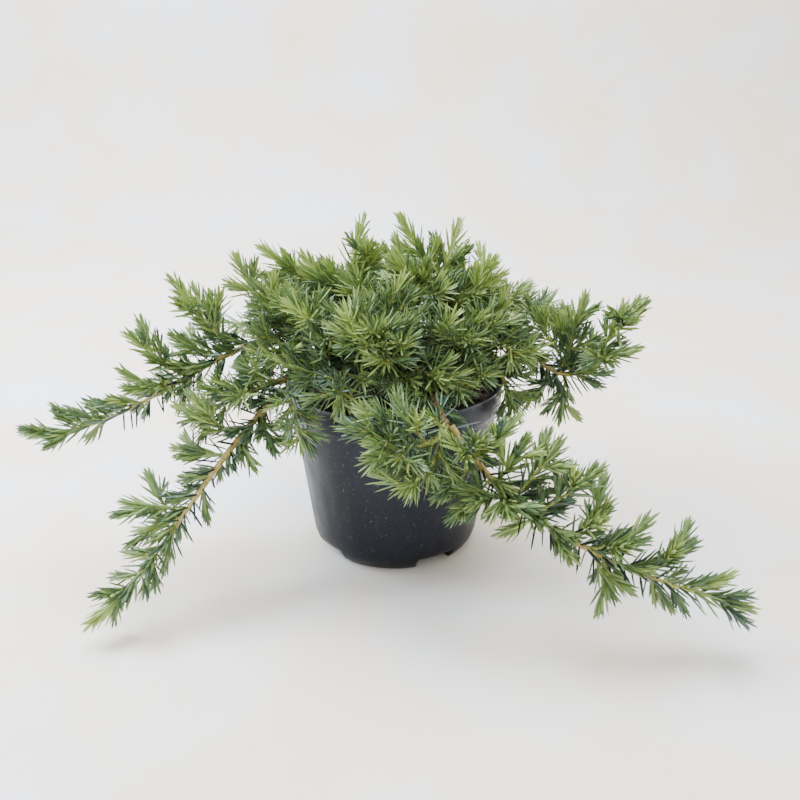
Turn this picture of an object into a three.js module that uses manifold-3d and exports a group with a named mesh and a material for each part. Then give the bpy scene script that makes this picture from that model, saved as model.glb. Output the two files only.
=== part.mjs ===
// Shore juniper in a 12 cm nursery pot, in millimetres, +Z up.
// The origin is the middle of the pot's flat underside, and the photographed side faces -Y.
// A short stem forks into boughs. Each bough ends in one to four leafy masses, which grow by one
// seeded rule: a bowed axis, side shoots along it, and whorls of three needles along every shoot.

import * as THREE from 'three';
import { mergeVertices } from 'three/addons/utils/BufferGeometryUtils.js';
import Module from 'manifold-3d';

const wasm = await Module();
wasm.setup();

// Gap between solids that meet
const SEAT = 0.3;

// Pot: thermoformed wall with a deep rim band, a rounded lower edge and four drainage notches
const RIM_RADIUS = 60;
const POT_HEIGHT = 99;
const LEDGE_HEIGHT = 84;
const BAND_FOOT_RADIUS = 58.2;
const WALL_TOP_RADIUS = 56.5;
const WALL_FOOT_RADIUS = 47.7;
const WALL_FOOT_HEIGHT = 13.6;
const FOOT_RADIUS = 40.5;
const LOWER_EDGE = [[42.6, 0.8], [45.4, 4.4], [47, 8.8]];
const WALL = 1.2;
const LIP_HEIGHT = 1.4;
const LIP_WIDTH = 0.9;
const POT_SEGMENTS = 32;
const NOTCH_COUNT = 4;
const NOTCH_ANGLE = 33;
const NOTCH_HEIGHT = 5.5;
const NOTCH_INNER_RADIUS = 31;
const FIRST_NOTCH_AZIMUTH = 32;

// Potting mix, filled to a watering space below the rim
const MIX_HEIGHT = 86;
const MIX_CROWN = 2.5;
const MIX_SEGMENTS = 24;

// Main stem, cut flat where it enters the mix
const STEM_TOP = 116;
const STEM_FLARE_RADIUS = 7.2;
const STEM_RADIUS = 4.9;
const STEM_TOP_RADIUS = 3.3;
const STEM_LEAN = [-2.5, -3, 0];
const STEM_STIFF_LENGTH = 9;

// Boughs and leafy stems
const BOUGH_ROOT_RADIUS = 2.3;
const BOUGH_TIP_RADIUS = 1.9;
const AXIS_RADIUS = 1.35;
const SHOOT_RADIUS = 0.95;
const TIP_RADIUS = 0.75;

// Side shoots: where they start and end on an axis, the ranges of their roll and angle in degrees,
// their lengths as shares of the longest, and how far a tip bends up
const FIRST_SHOOT = [7, 12];
const SHOOT_END = 9;
const SHOOT_ROLL = [25, 120];
const SHOOT_ANGLE = [38, 56];
const SHOOT_SHARE = [0.75, 1.15];
const SHOOT_TAPER = 0.55;
const SPACING_SHARE = [0.75, 1.25];
const LEADER_ROOM = 5;
const LEAST_SHOOT = 17;
const SHORTENED = [1, 0.75, 0.55];
const LEAST_SHARE = 0.7;

// Small shoots on a side shoot that is long enough to fork
const FORKING_LENGTH = 25;
const FORK_PLACES = [0.3, 0.52];
const FORK_ROLL = [40, 110];
const FORK_ANGLE = [40, 52];
const FORK_REACH = 0.3;

// Upturned tips
const UPTURN = 0.14;
const STIFF_PART = 0.55;

// Needles: whorls of three on three-sided twigs, fewer and a little wider than life
const NEEDLE_LENGTH = 13;
const BUD_LENGTH = 10;
const WHORL_GAP = 7;
const BARE_ROOT = 4;
const WHORL_TWIST = 26;
const NEEDLE_SHARE = [0.85, 1.1];
const OLD_LEAN = 58;
const YOUNG_LEAN = 16;
const LEAN_SPREAD = 12;
const LEAN_DISTANCE = 30;
const LEAFY_END = 60;
const NEEDLE_REACH = 0.5;

// Each bough: the height where it leaves the stem and its tip.
// Each mass: its tip and its longest side shoot, and the leaders that stand out in the photograph
// as [place along the axis, roll from the top, angle from the axis, length]. Roll is positive to
// the right-hand side when looking outwards. The other values replace those of PLAIN_LIMB.
// arch lifts a limb at one and two thirds of its length, sweep moves it to its right-hand side,
// spacing is the distance between side shoots, end the length before the tip that has none, and
// bare the share of missing needles on old wood.
const PLAIN_LIMB = { arch: [5, 4], sweep: [0, 0], spacing: 6.5, end: SHOOT_END, bare: 0, leaders: [] };

const BOUGHS = [
  {
    name: 'left', height: 104.4, tip: [-34, -4, 124], arch: [9, 6],
    masses: [
      {
        name: 'long_left', tip: [-194, -35, 79], side: 26, arch: [18, -28], bare: 0.6, spacing: 20, end: 18,
        leaders: [
          [0.14, 0, 66, 46], [0.15, -15, 92, 34], [0.31, -5, 76, 48], [0.33, 10, 98, 32],
          [0.47, -10, 68, 38], [0.49, -60, 50, 37], [0.34, 65, 42, 36], [0.47, -150, 52, 24],
          [0.63, -25, 40, 20], [0.76, 175, 35, 18],
        ],
      },
      { name: 'left_low', tip: [-74, -30, 103], side: 30, spacing: 5.5 },
      { name: 'left_front', tip: [-44, -44, 146], side: 30, arch: [0, -2] },
    ],
  },
  {
    name: 'upper_left', height: 110, tip: [-18, 6, 132],
    masses: [
      { name: 'crest_left', tip: [-75, 18, 167], side: 24, arch: [0, -3], end: 24 },
      {
        name: 'top_left', tip: [-15, 5, 185], side: 24, arch: [0, 0], sweep: [8, 6], end: 26,
        leaders: [[0.2, -60, 52, 32], [0.3, 70, 44, 28]],
      },
    ],
  },
  {
    name: 'low_left', height: 94.5, tip: [-52, -30, 106], arch: [10, 10],
    masses: [
      {
        name: 'drooping_left', tip: [-147, -108, 11], side: 24, arch: [4, -20], bare: 0.5, spacing: 18, end: 18,
        leaders: [
          [0.24, 35, 70, 36], [0.32, 62, 58, 30], [0.4, 75, 50, 20], [0.53, 52, 58, 34],
          [0.56, 88, 44, 32], [0.62, 180, 32, 26], [0.15, -115, 62, 30], [0.26, -110, 68, 25],
        ],
      },
      { name: 'left_rim', tip: [-44, -72, 84], side: 26, arch: [8, 6], spacing: 5.5 },
      { name: 'left_apron', tip: [-106, -40, 86], side: 30, spacing: 5.5 },
    ],
  },
  {
    name: 'front', height: 107, tip: [-2, -24, 116],
    masses: [
      { name: 'front_left', tip: [-21, -57, 143], side: 32, arch: [0, -3], spacing: 4 },
      { name: 'front_upright', tip: [-3, -24, 156], side: 28, arch: [0, 0], spacing: 4 },
      { name: 'front_right', tip: [27, -62, 114], side: 32, spacing: 5 },
      { name: 'front_star', tip: [-4, -68, 127], side: 32, spacing: 4 },
    ],
  },
  {
    name: 'front_right', height: 94.5, tip: [25, -74, 100], arch: [14, 14],
    masses: [
      {
        name: 'long_right', tip: [169, -112, 24], side: 22, arch: [-22, -12], sweep: [-2, 10],
        bare: 0.3, spacing: 20, end: 18,
        leaders: [
          [0.2, -10, 98, 27], [0.26, 0, 90, 38], [0.33, 5, 74, 42], [0.45, 0, 78, 28],
          [0.5, 20, 46, 31], [0.67, 0, 58, 28], [0.8, 0, 40, 22], [0.34, 178, 108, 25],
          [0.52, 160, 42, 31], [0.25, 120, 138, 28], [0.69, 170, 58, 16],
          [0.06, 60, 70, 28], [0.12, 140, 84, 32], [0.18, 135, 86, 34], [0.1, 20, 80, 24],
          [0.22, 80, 60, 26], [0.3, 62, 62, 24], [0.4, 92, 55, 24],
        ],
      },
      {
        name: 'front_spray', tip: [-14, -92, 102], side: 32, arch: [-8, -8], spacing: 4.5,
        leaders: [[0.25, 35, 30, 46], [0.3, 0, 62, 26], [0.05, 0, 80, 20]],
      },
      { name: 'front_low', tip: [1, -104, 81], side: 32, arch: [-7, -7], spacing: 4.5 },
    ],
  },
  {
    name: 'inner_left', height: 100, tip: [-20, -17, 112],
    masses: [
      { name: 'inner_left_low', tip: [-50, -44, 111], side: 30, spacing: 4.6 },
      { name: 'inner_left_high', tip: [-40, -36, 134], side: 32, spacing: 4 },
      {
        name: 'inner_left_rim', tip: [-27, -68, 101], side: 28, arch: [8, 6], spacing: 4.6,
        leaders: [[0.35, 95, 60, 30], [0.4, -95, 60, 30], [0.62, 85, 48, 24], [0.68, -85, 48, 24]],
      },
    ],
  },
  {
    name: 'inner_right', height: 100, tip: [18, -18, 112],
    masses: [
      { name: 'inner_right_low', tip: [50, -46, 110], side: 30, spacing: 4.6 },
      { name: 'inner_right_high', tip: [36, -44, 134], side: 32, spacing: 4 },
      {
        name: 'inner_right_rim', tip: [14, -62, 103], side: 28, arch: [8, 6], spacing: 4.6,
        leaders: [[0.35, 95, 60, 30], [0.4, -95, 60, 30]],
      },
    ],
  },
  {
    name: 'crown', height: 116, tip: [0, -2, 131], arch: [0, 0],
    masses: [
      { name: 'crown_left', tip: [-30, -16, 152], side: 30, arch: [0, 0], spacing: 5 },
      { name: 'crown_front', tip: [14, -22, 153], side: 30, arch: [0, 0], spacing: 4 },
      { name: 'crown_back', tip: [2, 34, 150], side: 28, arch: [0, 0] },
    ],
  },
  {
    name: 'right', height: 106, tip: [40, -5, 120], arch: [6, 6],
    masses: [
      {
        name: 'right_arch', tip: [119, -15, 145], side: 24, arch: [24, -88], bare: 0.2, spacing: 16, end: 18,
        leaders: [
          [0.56, 0, 112, 46], [0.5, 8, 92, 44], [0.62, -10, 84, 36], [0.72, 0, 80, 28],
          [0.84, 0, 55, 28], [0.88, 25, 40, 22], [0.5, 155, 124, 38], [0.53, 172, 92, 34],
        ],
      },
      { name: 'right_front', tip: [70, -40, 118], side: 30, spacing: 5, leaders: [[0.5, 80, 95, 42]] },
      { name: 'right_low', tip: [66, -34, 84], side: 26, arch: [8, 6], spacing: 5.5 },
    ],
  },
  {
    name: 'upper_right', height: 110, tip: [18, 4, 134],
    masses: [
      { name: 'top_centre', tip: [1, 22, 184], side: 24, arch: [0, 0], sweep: [8, 4], end: 26 },
      { name: 'top_right', tip: [36, 22, 181], side: 22, arch: [0, 0], end: 26 },
      { name: 'crest_right', tip: [58, -12, 160], side: 28, arch: [0, -4], spacing: 5, end: 20 },
      { name: 'crest_centre', tip: [-4, -20, 171], side: 24, arch: [0, 0], end: 20 },
    ],
  },
  {
    name: 'back_right', height: 95, tip: [28, 30, 118], arch: [6, 6],
    masses: [
      { name: 'back_right_arch', tip: [112, 84, 108], side: 34, arch: [10, 4], spacing: 14 },
      { name: 'back_right_crest', tip: [62, 46, 138], side: 28 },
      { name: 'back_right_inner', tip: [34, 68, 112], side: 30, spacing: 5.5 },
      { name: 'back_right_low', tip: [54, 118, 76], side: 30, arch: [22, 12], spacing: 14 },
    ],
  },
  {
    name: 'back', height: 104, tip: [-4, 30, 127],
    masses: [
      { name: 'back_crest', tip: [-10, 84, 139], side: 30 },
      { name: 'back_low', tip: [-14, 78, 104], side: 30, spacing: 5.5 },
      { name: 'back_arch', tip: [0, 136, 92], side: 32, arch: [16, 10], spacing: 14 },
    ],
  },
  {
    name: 'back_left', height: 97, tip: [-28, 26, 118], arch: [6, 6],
    masses: [
      { name: 'back_left_arch', tip: [-104, 80, 98], side: 34, arch: [14, 8], spacing: 14 },
      { name: 'back_left_low', tip: [-62, 116, 74], side: 30, arch: [24, 12], spacing: 14 },
      { name: 'back_left_crest', tip: [-62, 48, 141], side: 28 },
      { name: 'back_left_inner', tip: [-66, 28, 108], side: 30, spacing: 5.5 },
    ],
  },
];

const UP = new THREE.Vector3(0, 0, 1);
const FRONT = new THREE.Vector3(0, -1, 0);

// Seeded draws from 0 to 1, by a multiplicative rule that stays within whole numbers
function seeded(seed) {
  let state = 7919 * (seed + 1);
  const draw = () => {
    state = (state * 48271) % 2147483647;
    return state / 2147483647;
  };
  draw();
  draw();
  return draw;
}

// A drawn value in a range
function between([low, high], draw) {
  return low + (high - low) * draw();
}

function radians(degrees) {
  return THREE.MathUtils.degToRad(degrees);
}

// Curves of the limbs

// A limb from root to tip that arch lifts and sweep moves to its right-hand side. It leaves its
// root halfway between the heading given there and the straight way to the tip.
function limbCurve(root, heading, tip, { arch, sweep }) {
  const along = tip.clone().sub(root);
  const right = along.clone().cross(UP).normalize();
  const first = along.clone().addScaledVector(heading, along.length()).divideScalar(6).add(root);
  first.addScaledVector(UP, arch[0]).addScaledVector(right, sweep[0]);
  const second = root.clone().addScaledVector(along, 2 / 3);
  second.addScaledVector(UP, arch[1]).addScaledVector(right, sweep[1]);
  return new THREE.CubicBezierCurve3(root, first, second, tip);
}

// Upper and right-hand directions round a tangent
function directionsRound(tangent) {
  const reference = Math.abs(tangent.z) < 0.85 ? UP : FRONT;
  const upper = reference.clone().addScaledVector(tangent, -tangent.dot(reference)).normalize();
  return { upper, right: tangent.clone().cross(upper) };
}

// A side shoot that leaves its parent at a roll and an angle and then turns up
function shootCurve(parent, place, roll, angle, length) {
  const root = parent.getPointAt(place);
  const tangent = parent.getTangentAt(place);
  const { upper, right } = directionsRound(tangent);
  const outward = upper.multiplyScalar(Math.cos(radians(roll)));
  outward.addScaledVector(right, Math.sin(radians(roll)));
  const heading = tangent.clone().multiplyScalar(Math.cos(radians(angle)));
  heading.addScaledVector(outward, Math.sin(radians(angle)));
  const control = root.clone().addScaledVector(heading, STIFF_PART * length);
  const tip = root.clone().addScaledVector(heading, length).addScaledVector(UP, UPTURN * length);
  return new THREE.QuadraticBezierCurve3(root, control, tip);
}

// Things filed by the cells of space that their boxes reach

const CELL = 10;

class Cells {
  constructor() {
    this.filed = new Map();
  }

  *keysOf(box) {
    const low = box.min.clone().divideScalar(CELL).floor();
    const high = box.max.clone().divideScalar(CELL).floor();
    for (let x = low.x; x <= high.x; x += 1) {
      for (let y = low.y; y <= high.y; y += 1) {
        for (let z = low.z; z <= high.z; z += 1) {
          yield `${x},${y},${z}`;
        }
      }
    }
  }

  file(box, thing) {
    for (const key of this.keysOf(box)) {
      if (!this.filed.has(key)) {
        this.filed.set(key, []);
      }
      this.filed.get(key).push(thing);
    }
  }

  *near(box) {
    for (const key of this.keysOf(box)) {
      yield* this.filed.get(key) ?? [];
    }
  }
}

// Room that the limbs take up, so that each mass keeps clear of the others
class Room {
  constructor() {
    this.cells = new Cells();
  }

  boxRound(a, b, margin) {
    return new THREE.Box3().setFromPoints([a, b]).expandByScalar(margin);
  }

  add(owner, a, b, radius) {
    this.cells.file(this.boxRound(a, b, radius), { owner, a, b, radius });
  }

  // Whether a rod keeps the seat gap to what belongs to others
  isClear(owner, a, b, radius) {
    for (const rod of this.cells.near(this.boxRound(a, b, radius + SEAT))) {
      const gap = radius + rod.radius + SEAT;
      if (rod.owner !== owner && distanceBetween(a, b, rod.a, rod.b) < gap) {
        return false;
      }
    }
    return true;
  }
}

// Shortest distance between two straight lines with ends
function distanceBetween(a, b, c, d) {
  const first = b.clone().sub(a);
  const second = d.clone().sub(c);
  const offset = a.clone().sub(c);
  const firstSquare = first.lengthSq();
  const secondSquare = second.lengthSq();
  const mixed = first.dot(second);
  const firstOffset = first.dot(offset);
  const secondOffset = second.dot(offset);
  const spread = firstSquare * secondSquare - mixed * mixed;
  let s = 0;
  if (spread > 1e-9) {
    s = THREE.MathUtils.clamp((mixed * secondOffset - firstOffset * secondSquare) / spread, 0, 1);
  }
  const t = THREE.MathUtils.clamp((mixed * s + secondOffset) / secondSquare, 0, 1);
  s = THREE.MathUtils.clamp((mixed * t - firstOffset) / firstSquare, 0, 1);
  const onFirst = a.clone().addScaledVector(first, s);
  return onFirst.distanceTo(c.clone().addScaledVector(second, t));
}

// Pot and mix outlines, as radius and height from the axis out and up

function potOutline() {
  return [
    [FOOT_RADIUS, 0],
    ...LOWER_EDGE,
    [WALL_FOOT_RADIUS, WALL_FOOT_HEIGHT],
    [WALL_TOP_RADIUS, LEDGE_HEIGHT],
    [BAND_FOOT_RADIUS, LEDGE_HEIGHT],
    [RIM_RADIUS - LIP_WIDTH, POT_HEIGHT - LIP_HEIGHT],
    [RIM_RADIUS, POT_HEIGHT - 0.7 * LIP_HEIGHT],
    [RIM_RADIUS, POT_HEIGHT],
  ];
}

// Outline of what lies inside the pot, set in from its outer face
function cavityOutline(inset, top) {
  const [edgeRadius, edgeHeight] = LOWER_EDGE[1];
  return [
    [FOOT_RADIUS - inset, inset],
    [edgeRadius - inset, edgeHeight + 0.6 * inset],
    [WALL_FOOT_RADIUS - inset, WALL_FOOT_HEIGHT],
    [WALL_TOP_RADIUS - inset, LEDGE_HEIGHT + WALL],
    ...top,
  ];
}

// Outer radius of the pot at a height, for keeping foliage clear of it
function potRadiusAt(height) {
  const outline = potOutline();
  for (let i = 1; i < outline.length; i += 1) {
    const [lowRadius, low] = outline[i - 1];
    const [highRadius, high] = outline[i];
    if (height <= high) {
      const part = high > low ? (height - low) / (high - low) : 1;
      return Math.max(lowRadius + (highRadius - lowRadius) * part, lowRadius);
    }
  }
  return RIM_RADIUS;
}

function isClearOfPot(point, margin) {
  const radius = Math.hypot(point.x, point.y);
  if (point.z < margin) {
    return false;
  }
  if (point.z > POT_HEIGHT + margin) {
    return true;
  }
  if (radius < WALL_TOP_RADIUS - WALL - margin) {
    return point.z > MIX_HEIGHT + MIX_CROWN + margin;
  }
  return radius > potRadiusAt(Math.max(point.z, 0)) + margin;
}

// Solids

function toManifold(geometry) {
  const bare = geometry.clone();
  bare.deleteAttribute('normal');
  bare.deleteAttribute('uv');
  const merged = mergeVertices(bare, 1e-4);
  return new wasm.Manifold(new wasm.Mesh({
    numProp: 3,
    vertProperties: new Float32Array(merged.attributes.position.array),
    triVerts: new Uint32Array(merged.index.array),
  }));
}

// The largest closed skin of a joined solid: loose scraps and sealed hollows are left out
function toGeometry(solid) {
  const mesh = solid.getMesh();
  const corners = mesh.triVerts;
  const places = mesh.vertProperties;
  const leader = Array.from({ length: places.length / 3 }, (_, index) => index);
  const find = (index) => {
    let root = index;
    while (leader[root] !== root) {
      leader[root] = leader[leader[root]];
      root = leader[root];
    }
    return root;
  };
  for (let i = 0; i < corners.length; i += 3) {
    leader[find(corners[i + 1])] = find(corners[i]);
    leader[find(corners[i + 2])] = find(corners[i]);
  }
  const point = (index) => new THREE.Vector3().fromArray(places, 3 * index);
  const volumes = new Map();
  for (let i = 0; i < corners.length; i += 3) {
    const skin = find(corners[i]);
    const [a, b, c] = [point(corners[i]), point(corners[i + 1]), point(corners[i + 2])];
    volumes.set(skin, (volumes.get(skin) ?? 0) + a.dot(b.cross(c)) / 6);
  }
  const largest = [...volumes].sort((first, second) => second[1] - first[1])[0][0];
  const kept = [];
  for (let i = 0; i < corners.length; i += 3) {
    if (find(corners[i]) === largest) {
      kept.push(corners[i], corners[i + 1], corners[i + 2]);
    }
  }
  const geometry = new THREE.BufferGeometry();
  geometry.setAttribute('position', new THREE.BufferAttribute(new Float32Array(places), 3));
  geometry.setIndex(kept);
  return geometry.toNonIndexed();
}

// A solid of revolution from an outline of [radius, height] pairs, closed at the axis
function turnedSolid(outline, segments) {
  const bottom = [0, outline[0][1]];
  const top = [0, outline.at(-1)[1]];
  const profile = [bottom, ...outline, top].map(([radius, height]) => new THREE.Vector2(radius, height));
  const lathe = new THREE.LatheGeometry(profile, segments);
  lathe.rotateX(Math.PI / 2);
  return toManifold(lathe);
}

// A block as wide as a drainage notch, from its inner end out past the wall
function notchBlock(azimuth, grow) {
  const half = radians(NOTCH_ANGLE / 2) + grow / FOOT_RADIUS;
  const inner = NOTCH_INNER_RADIUS - grow;
  const shape = new THREE.Shape();
  shape.absarc(0, 0, RIM_RADIUS, -half, half, false);
  shape.absarc(0, 0, inner, half, -half, true);
  const height = NOTCH_HEIGHT + grow + 1;
  const block = new THREE.ExtrudeGeometry(shape, { depth: height, bevelEnabled: false, curveSegments: 4 });
  block.translate(0, 0, -1);
  block.rotateZ(radians(azimuth));
  return toManifold(block);
}

function withoutNotches(solid, grow) {
  let cut = solid;
  for (let i = 0; i < NOTCH_COUNT; i += 1) {
    cut = cut.subtract(notchBlock(FIRST_NOTCH_AZIMUTH + (360 / NOTCH_COUNT) * i, grow));
  }
  return cut;
}

function potSolid() {
  const outer = withoutNotches(turnedSolid(potOutline(), POT_SEGMENTS), 0);
  const mouth = [
    [BAND_FOOT_RADIUS - WALL, LEDGE_HEIGHT + WALL],
    [RIM_RADIUS - LIP_WIDTH - WALL, POT_HEIGHT + 1],
  ];
  const cavity = withoutNotches(turnedSolid(cavityOutline(WALL, mouth), POT_SEGMENTS), WALL);
  return outer.subtract(cavity);
}

function mixSolid() {
  const inset = WALL + SEAT;
  const crown = [
    [BAND_FOOT_RADIUS - inset, LEDGE_HEIGHT + inset],
    [BAND_FOOT_RADIUS - inset, MIX_HEIGHT],
    [0.45 * BAND_FOOT_RADIUS, MIX_HEIGHT + MIX_CROWN],
  ];
  const outline = cavityOutline(inset, crown);
  outline[3][1] = LEDGE_HEIGHT + inset;
  return withoutNotches(turnedSolid(outline, MIX_SEGMENTS), inset);
}

// Rings round a curve, at distances from its root, that keep from spinning. The first is square
// to the root's heading.
function ringsAlong(curve, distances, radii, sides, twist, heading) {
  const length = curve.getLength();
  let across = null;
  return distances.map((distance, step) => {
    const centre = curve.getPointAt(Math.min(distance / length, 1));
    const tangent = step === 0 ? heading : curve.getTangentAt(Math.min(distance / length, 1));
    if (across === null) {
      across = directionsRound(tangent).upper;
    } else {
      across = across.clone().addScaledVector(tangent, -tangent.dot(across)).normalize();
    }
    const other = tangent.clone().cross(across);
    const corners = [];
    for (let side = 0; side < sides; side += 1) {
      const turn = (2 * Math.PI * side) / sides + radians(twist) * step;
      const corner = centre.clone().addScaledVector(across, radii[step] * Math.cos(turn));
      corners.push(corner.addScaledVector(other, radii[step] * Math.sin(turn)));
    }
    return { centre, tangent, corners };
  });
}

function geometryFrom(triangles) {
  const geometry = new THREE.BufferGeometry();
  geometry.setFromPoints(triangles.flat());
  return geometry;
}

// A tapering limb with flat ends
function taperedLimb(curve, rootRadius, tipRadius, sides, steps, flare = 0) {
  const length = curve.getLength();
  const distances = [];
  const radii = [];
  for (let step = 0; step <= steps; step += 1) {
    const part = step / steps;
    distances.push(length * part);
    radii.push(rootRadius + (tipRadius - rootRadius) * part + flare * Math.max(0, 1 - 4 * part));
  }
  const rings = ringsAlong(curve, distances, radii, sides, 0, curve.getTangentAt(0));
  const triangles = [];
  for (let step = 0; step < steps; step += 1) {
    for (let side = 0; side < sides; side += 1) {
      const next = (side + 1) % sides;
      const [a, b] = [rings[step].corners[side], rings[step].corners[next]];
      const [c, d] = [rings[step + 1].corners[next], rings[step + 1].corners[side]];
      triangles.push([a, b, c], [a, c, d]);
    }
  }
  for (let side = 1; side < sides - 1; side += 1) {
    const [first, last] = [rings[0].corners, rings[steps].corners];
    triangles.push([first[0], first[side + 1], first[side]]);
    triangles.push([last[0], last[side], last[side + 1]]);
  }
  return toManifold(geometryFrom(triangles));
}

// Growth rule

// Side shoots along a curve: the leaders first, then one at each spacing, left and right in turn
function sideShoots(curve, plan, seed) {
  const { side: longest, spacing, leaders } = plan;
  const shoots = leaders.map(([place, roll, angle, length]) => ({ place, roll, angle, length }));
  const draw = seeded(seed);
  const length = curve.getLength();
  let distance = between(FIRST_SHOOT, draw);
  let hand = draw() < 0.5 ? -1 : 1;
  while (distance < length - plan.end) {
    const place = distance / length;
    const roll = hand * between(SHOOT_ROLL, draw);
    const angle = between(SHOOT_ANGLE, draw);
    const share = between(SHOOT_SHARE, draw);
    const reach = Math.max(LEAST_SHOOT, longest * (1 - SHOOT_TAPER * place) * share);
    const crowded = leaders.some((leader) => Math.abs(leader[0] - place) * length < LEADER_ROOM);
    if (!crowded) {
      shoots.push({ place, roll, angle, length: reach });
    }
    distance += spacing * between(SPACING_SHARE, draw);
    hand = -hand;
  }
  return shoots;
}

// Small shoots on a long side shoot
function smallShoots(curve, seed) {
  const length = curve.getLength();
  if (length < FORKING_LENGTH) {
    return [];
  }
  const draw = seeded(seed);
  const shoots = [];
  let hand = draw() < 0.5 ? -1 : 1;
  for (const place of FORK_PLACES) {
    const roll = hand * between(FORK_ROLL, draw);
    const reach = LEAST_SHOOT + FORK_REACH * length * (1 - place) * draw();
    shoots.push({ place, roll, angle: between(FORK_ANGLE, draw), length: reach });
    hand = -hand;
  }
  return shoots;
}

// Distances of the rings along a shoot: one at its root, then one at each end of every whorl
function ringDistances(length) {
  const leafy = length - BUD_LENGTH - BARE_ROOT;
  const count = Math.max(1, Math.round(leafy / WHORL_GAP));
  const distances = [0];
  for (let i = 0; i <= count; i += 1) {
    distances.push(BARE_ROOT + (leafy * i) / count);
  }
  return distances;
}

function stemRadius(shoot, part) {
  return shoot.radius + (TIP_RADIUS - shoot.radius) * part;
}

// Straight rods that stand for a shoot's stem
function stemRods(shoot) {
  const count = Math.max(2, Math.ceil(shoot.length / 9));
  const rods = [];
  for (let i = 0; i < count; i += 1) {
    const from = shoot.curve.getPointAt(i / count);
    const to = shoot.curve.getPointAt((i + 1) / count);
    rods.push([from, to, stemRadius(shoot, i / count)]);
  }
  return rods;
}

function hasRoom(room, owner, rods) {
  return rods.every(([from, to, radius]) => (
    isClearOfPot(from, radius + SEAT)
    && isClearOfPot(to, radius + SEAT)
    && room.isClear(owner, from, to, radius)
  ));
}

function takeRoom(room, owner, rods) {
  for (const [from, to, radius] of rods) {
    room.add(owner, from, to, radius);
  }
}

// Whether a straight line with ends goes through a triangle
function pierces(from, to, [a, b, c]) {
  const line = to.clone().sub(from);
  const [u, v] = [b.clone().sub(a), c.clone().sub(a)];
  const normal = line.clone().cross(v);
  const scale = u.dot(normal);
  if (Math.abs(scale) < 1e-9) {
    return false;
  }
  const offset = from.clone().sub(a);
  const first = offset.dot(normal) / scale;
  const turned = offset.cross(u);
  const second = line.dot(turned) / scale;
  const along = v.dot(turned) / scale;
  return first >= 0 && second >= 0 && first + second <= 1 && along >= 0 && along <= 1;
}

function anyEdgePierces(edged, pierced) {
  return [0, 1, 2].some((index) => {
    const [from, to] = [edged[index], edged[(index + 1) % 3]];
    return !pierced.includes(from) && !pierced.includes(to) && pierces(from, to, pierced);
  });
}

// The skin of the foliage so far, to keep twigs and needles from crossing
class Skin {
  constructor() {
    this.cells = new Cells();
  }

  add(triangles) {
    for (const triangle of triangles) {
      const box = new THREE.Box3().setFromPoints(triangle);
      this.cells.file(box, { triangle, box });
    }
  }

  isCrossedBy(triangles) {
    return triangles.some((fresh) => {
      const freshBox = new THREE.Box3().setFromPoints(fresh);
      for (const { triangle, box } of this.cells.near(freshBox)) {
        const apart = !box.intersectsBox(freshBox);
        const joined = triangle.filter((corner) => fresh.includes(corner)).length > 1;
        if (!apart && !joined && (anyEdgePierces(fresh, triangle) || anyEdgePierces(triangle, fresh))) {
          return true;
        }
      }
      return false;
    });
  }
}

function faceCorners(shoot, step, side) {
  const next = (side + 1) % 3;
  const [low, high] = [shoot.rings[step].corners, shoot.rings[step + 1].corners];
  return [low[side], low[next], high[next], high[side]];
}

function flatFace([a, b, c, d]) {
  return [[a, b, c], [a, c, d]];
}

function spikedFace([a, b, c, d], point) {
  return [[a, b, point], [b, c, point], [c, d, point], [d, a, point]];
}

function faceOutward(shoot, step, side) {
  const middle = faceCorners(shoot, step, side).reduce((sum, corner) => sum.add(corner), new THREE.Vector3());
  middle.multiplyScalar(0.25);
  const [low, high] = [shoot.rings[step], shoot.rings[step + 1]];
  const tangent = low.tangent.clone().add(high.tangent).normalize();
  const outward = middle.clone().sub(low.centre.clone().add(high.centre).multiplyScalar(0.5));
  outward.addScaledVector(tangent, -tangent.dot(outward)).normalize();
  return { middle, tangent, outward };
}

// Triangles between a face of the parent and the three corners of the side shoot's first ring
function collar(face, ring) {
  const twists = [0, 1, 2].map((start) => (
    face[0].distanceTo(ring[start]) + face[1].distanceTo(ring[(start + 1) % 3])
    + face[2].distanceTo(ring[(start + 1) % 3]) + face[3].distanceTo(ring[(start + 2) % 3])
  ));
  const start = twists.indexOf(Math.min(...twists));
  const triangles = [];
  for (let i = 0; i < 4; i += 1) {
    const corner = ring[(start + i) % 3];
    triangles.push([face[i], face[(i + 1) % 4], corner]);
    if (i < 3) {
      triangles.push([face[(i + 1) % 4], ring[(start + i + 1) % 3], corner]);
    }
  }
  return triangles;
}

// The stem of a shoot as flat faces, with the bud at its tip
function stemTriangles(shoot, firstStep) {
  const triangles = [];
  const last = shoot.rings.length - 1;
  for (let step = firstStep; step < last; step += 1) {
    for (let side = 0; side < 3; side += 1) {
      triangles.push(...flatFace(faceCorners(shoot, step, side)));
    }
  }
  const end = shoot.rings[last].corners;
  const bud = shoot.bud;
  return [...triangles, [end[0], end[1], bud], [end[1], end[2], bud], [end[2], end[0], bud]];
}

function makeShoot(curve, radius, bare, heading = curve.getTangentAt(0)) {
  const shoot = { curve, length: curve.getLength(), radius, bare, faces: new Map() };
  const distances = ringDistances(shoot.length);
  const radii = distances.map((distance) => stemRadius(shoot, distance / shoot.length));
  shoot.rings = ringsAlong(curve, distances, radii, 3, WHORL_TWIST, heading);
  shoot.bud = curve.getPointAt(1);
  return shoot;
}

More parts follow.
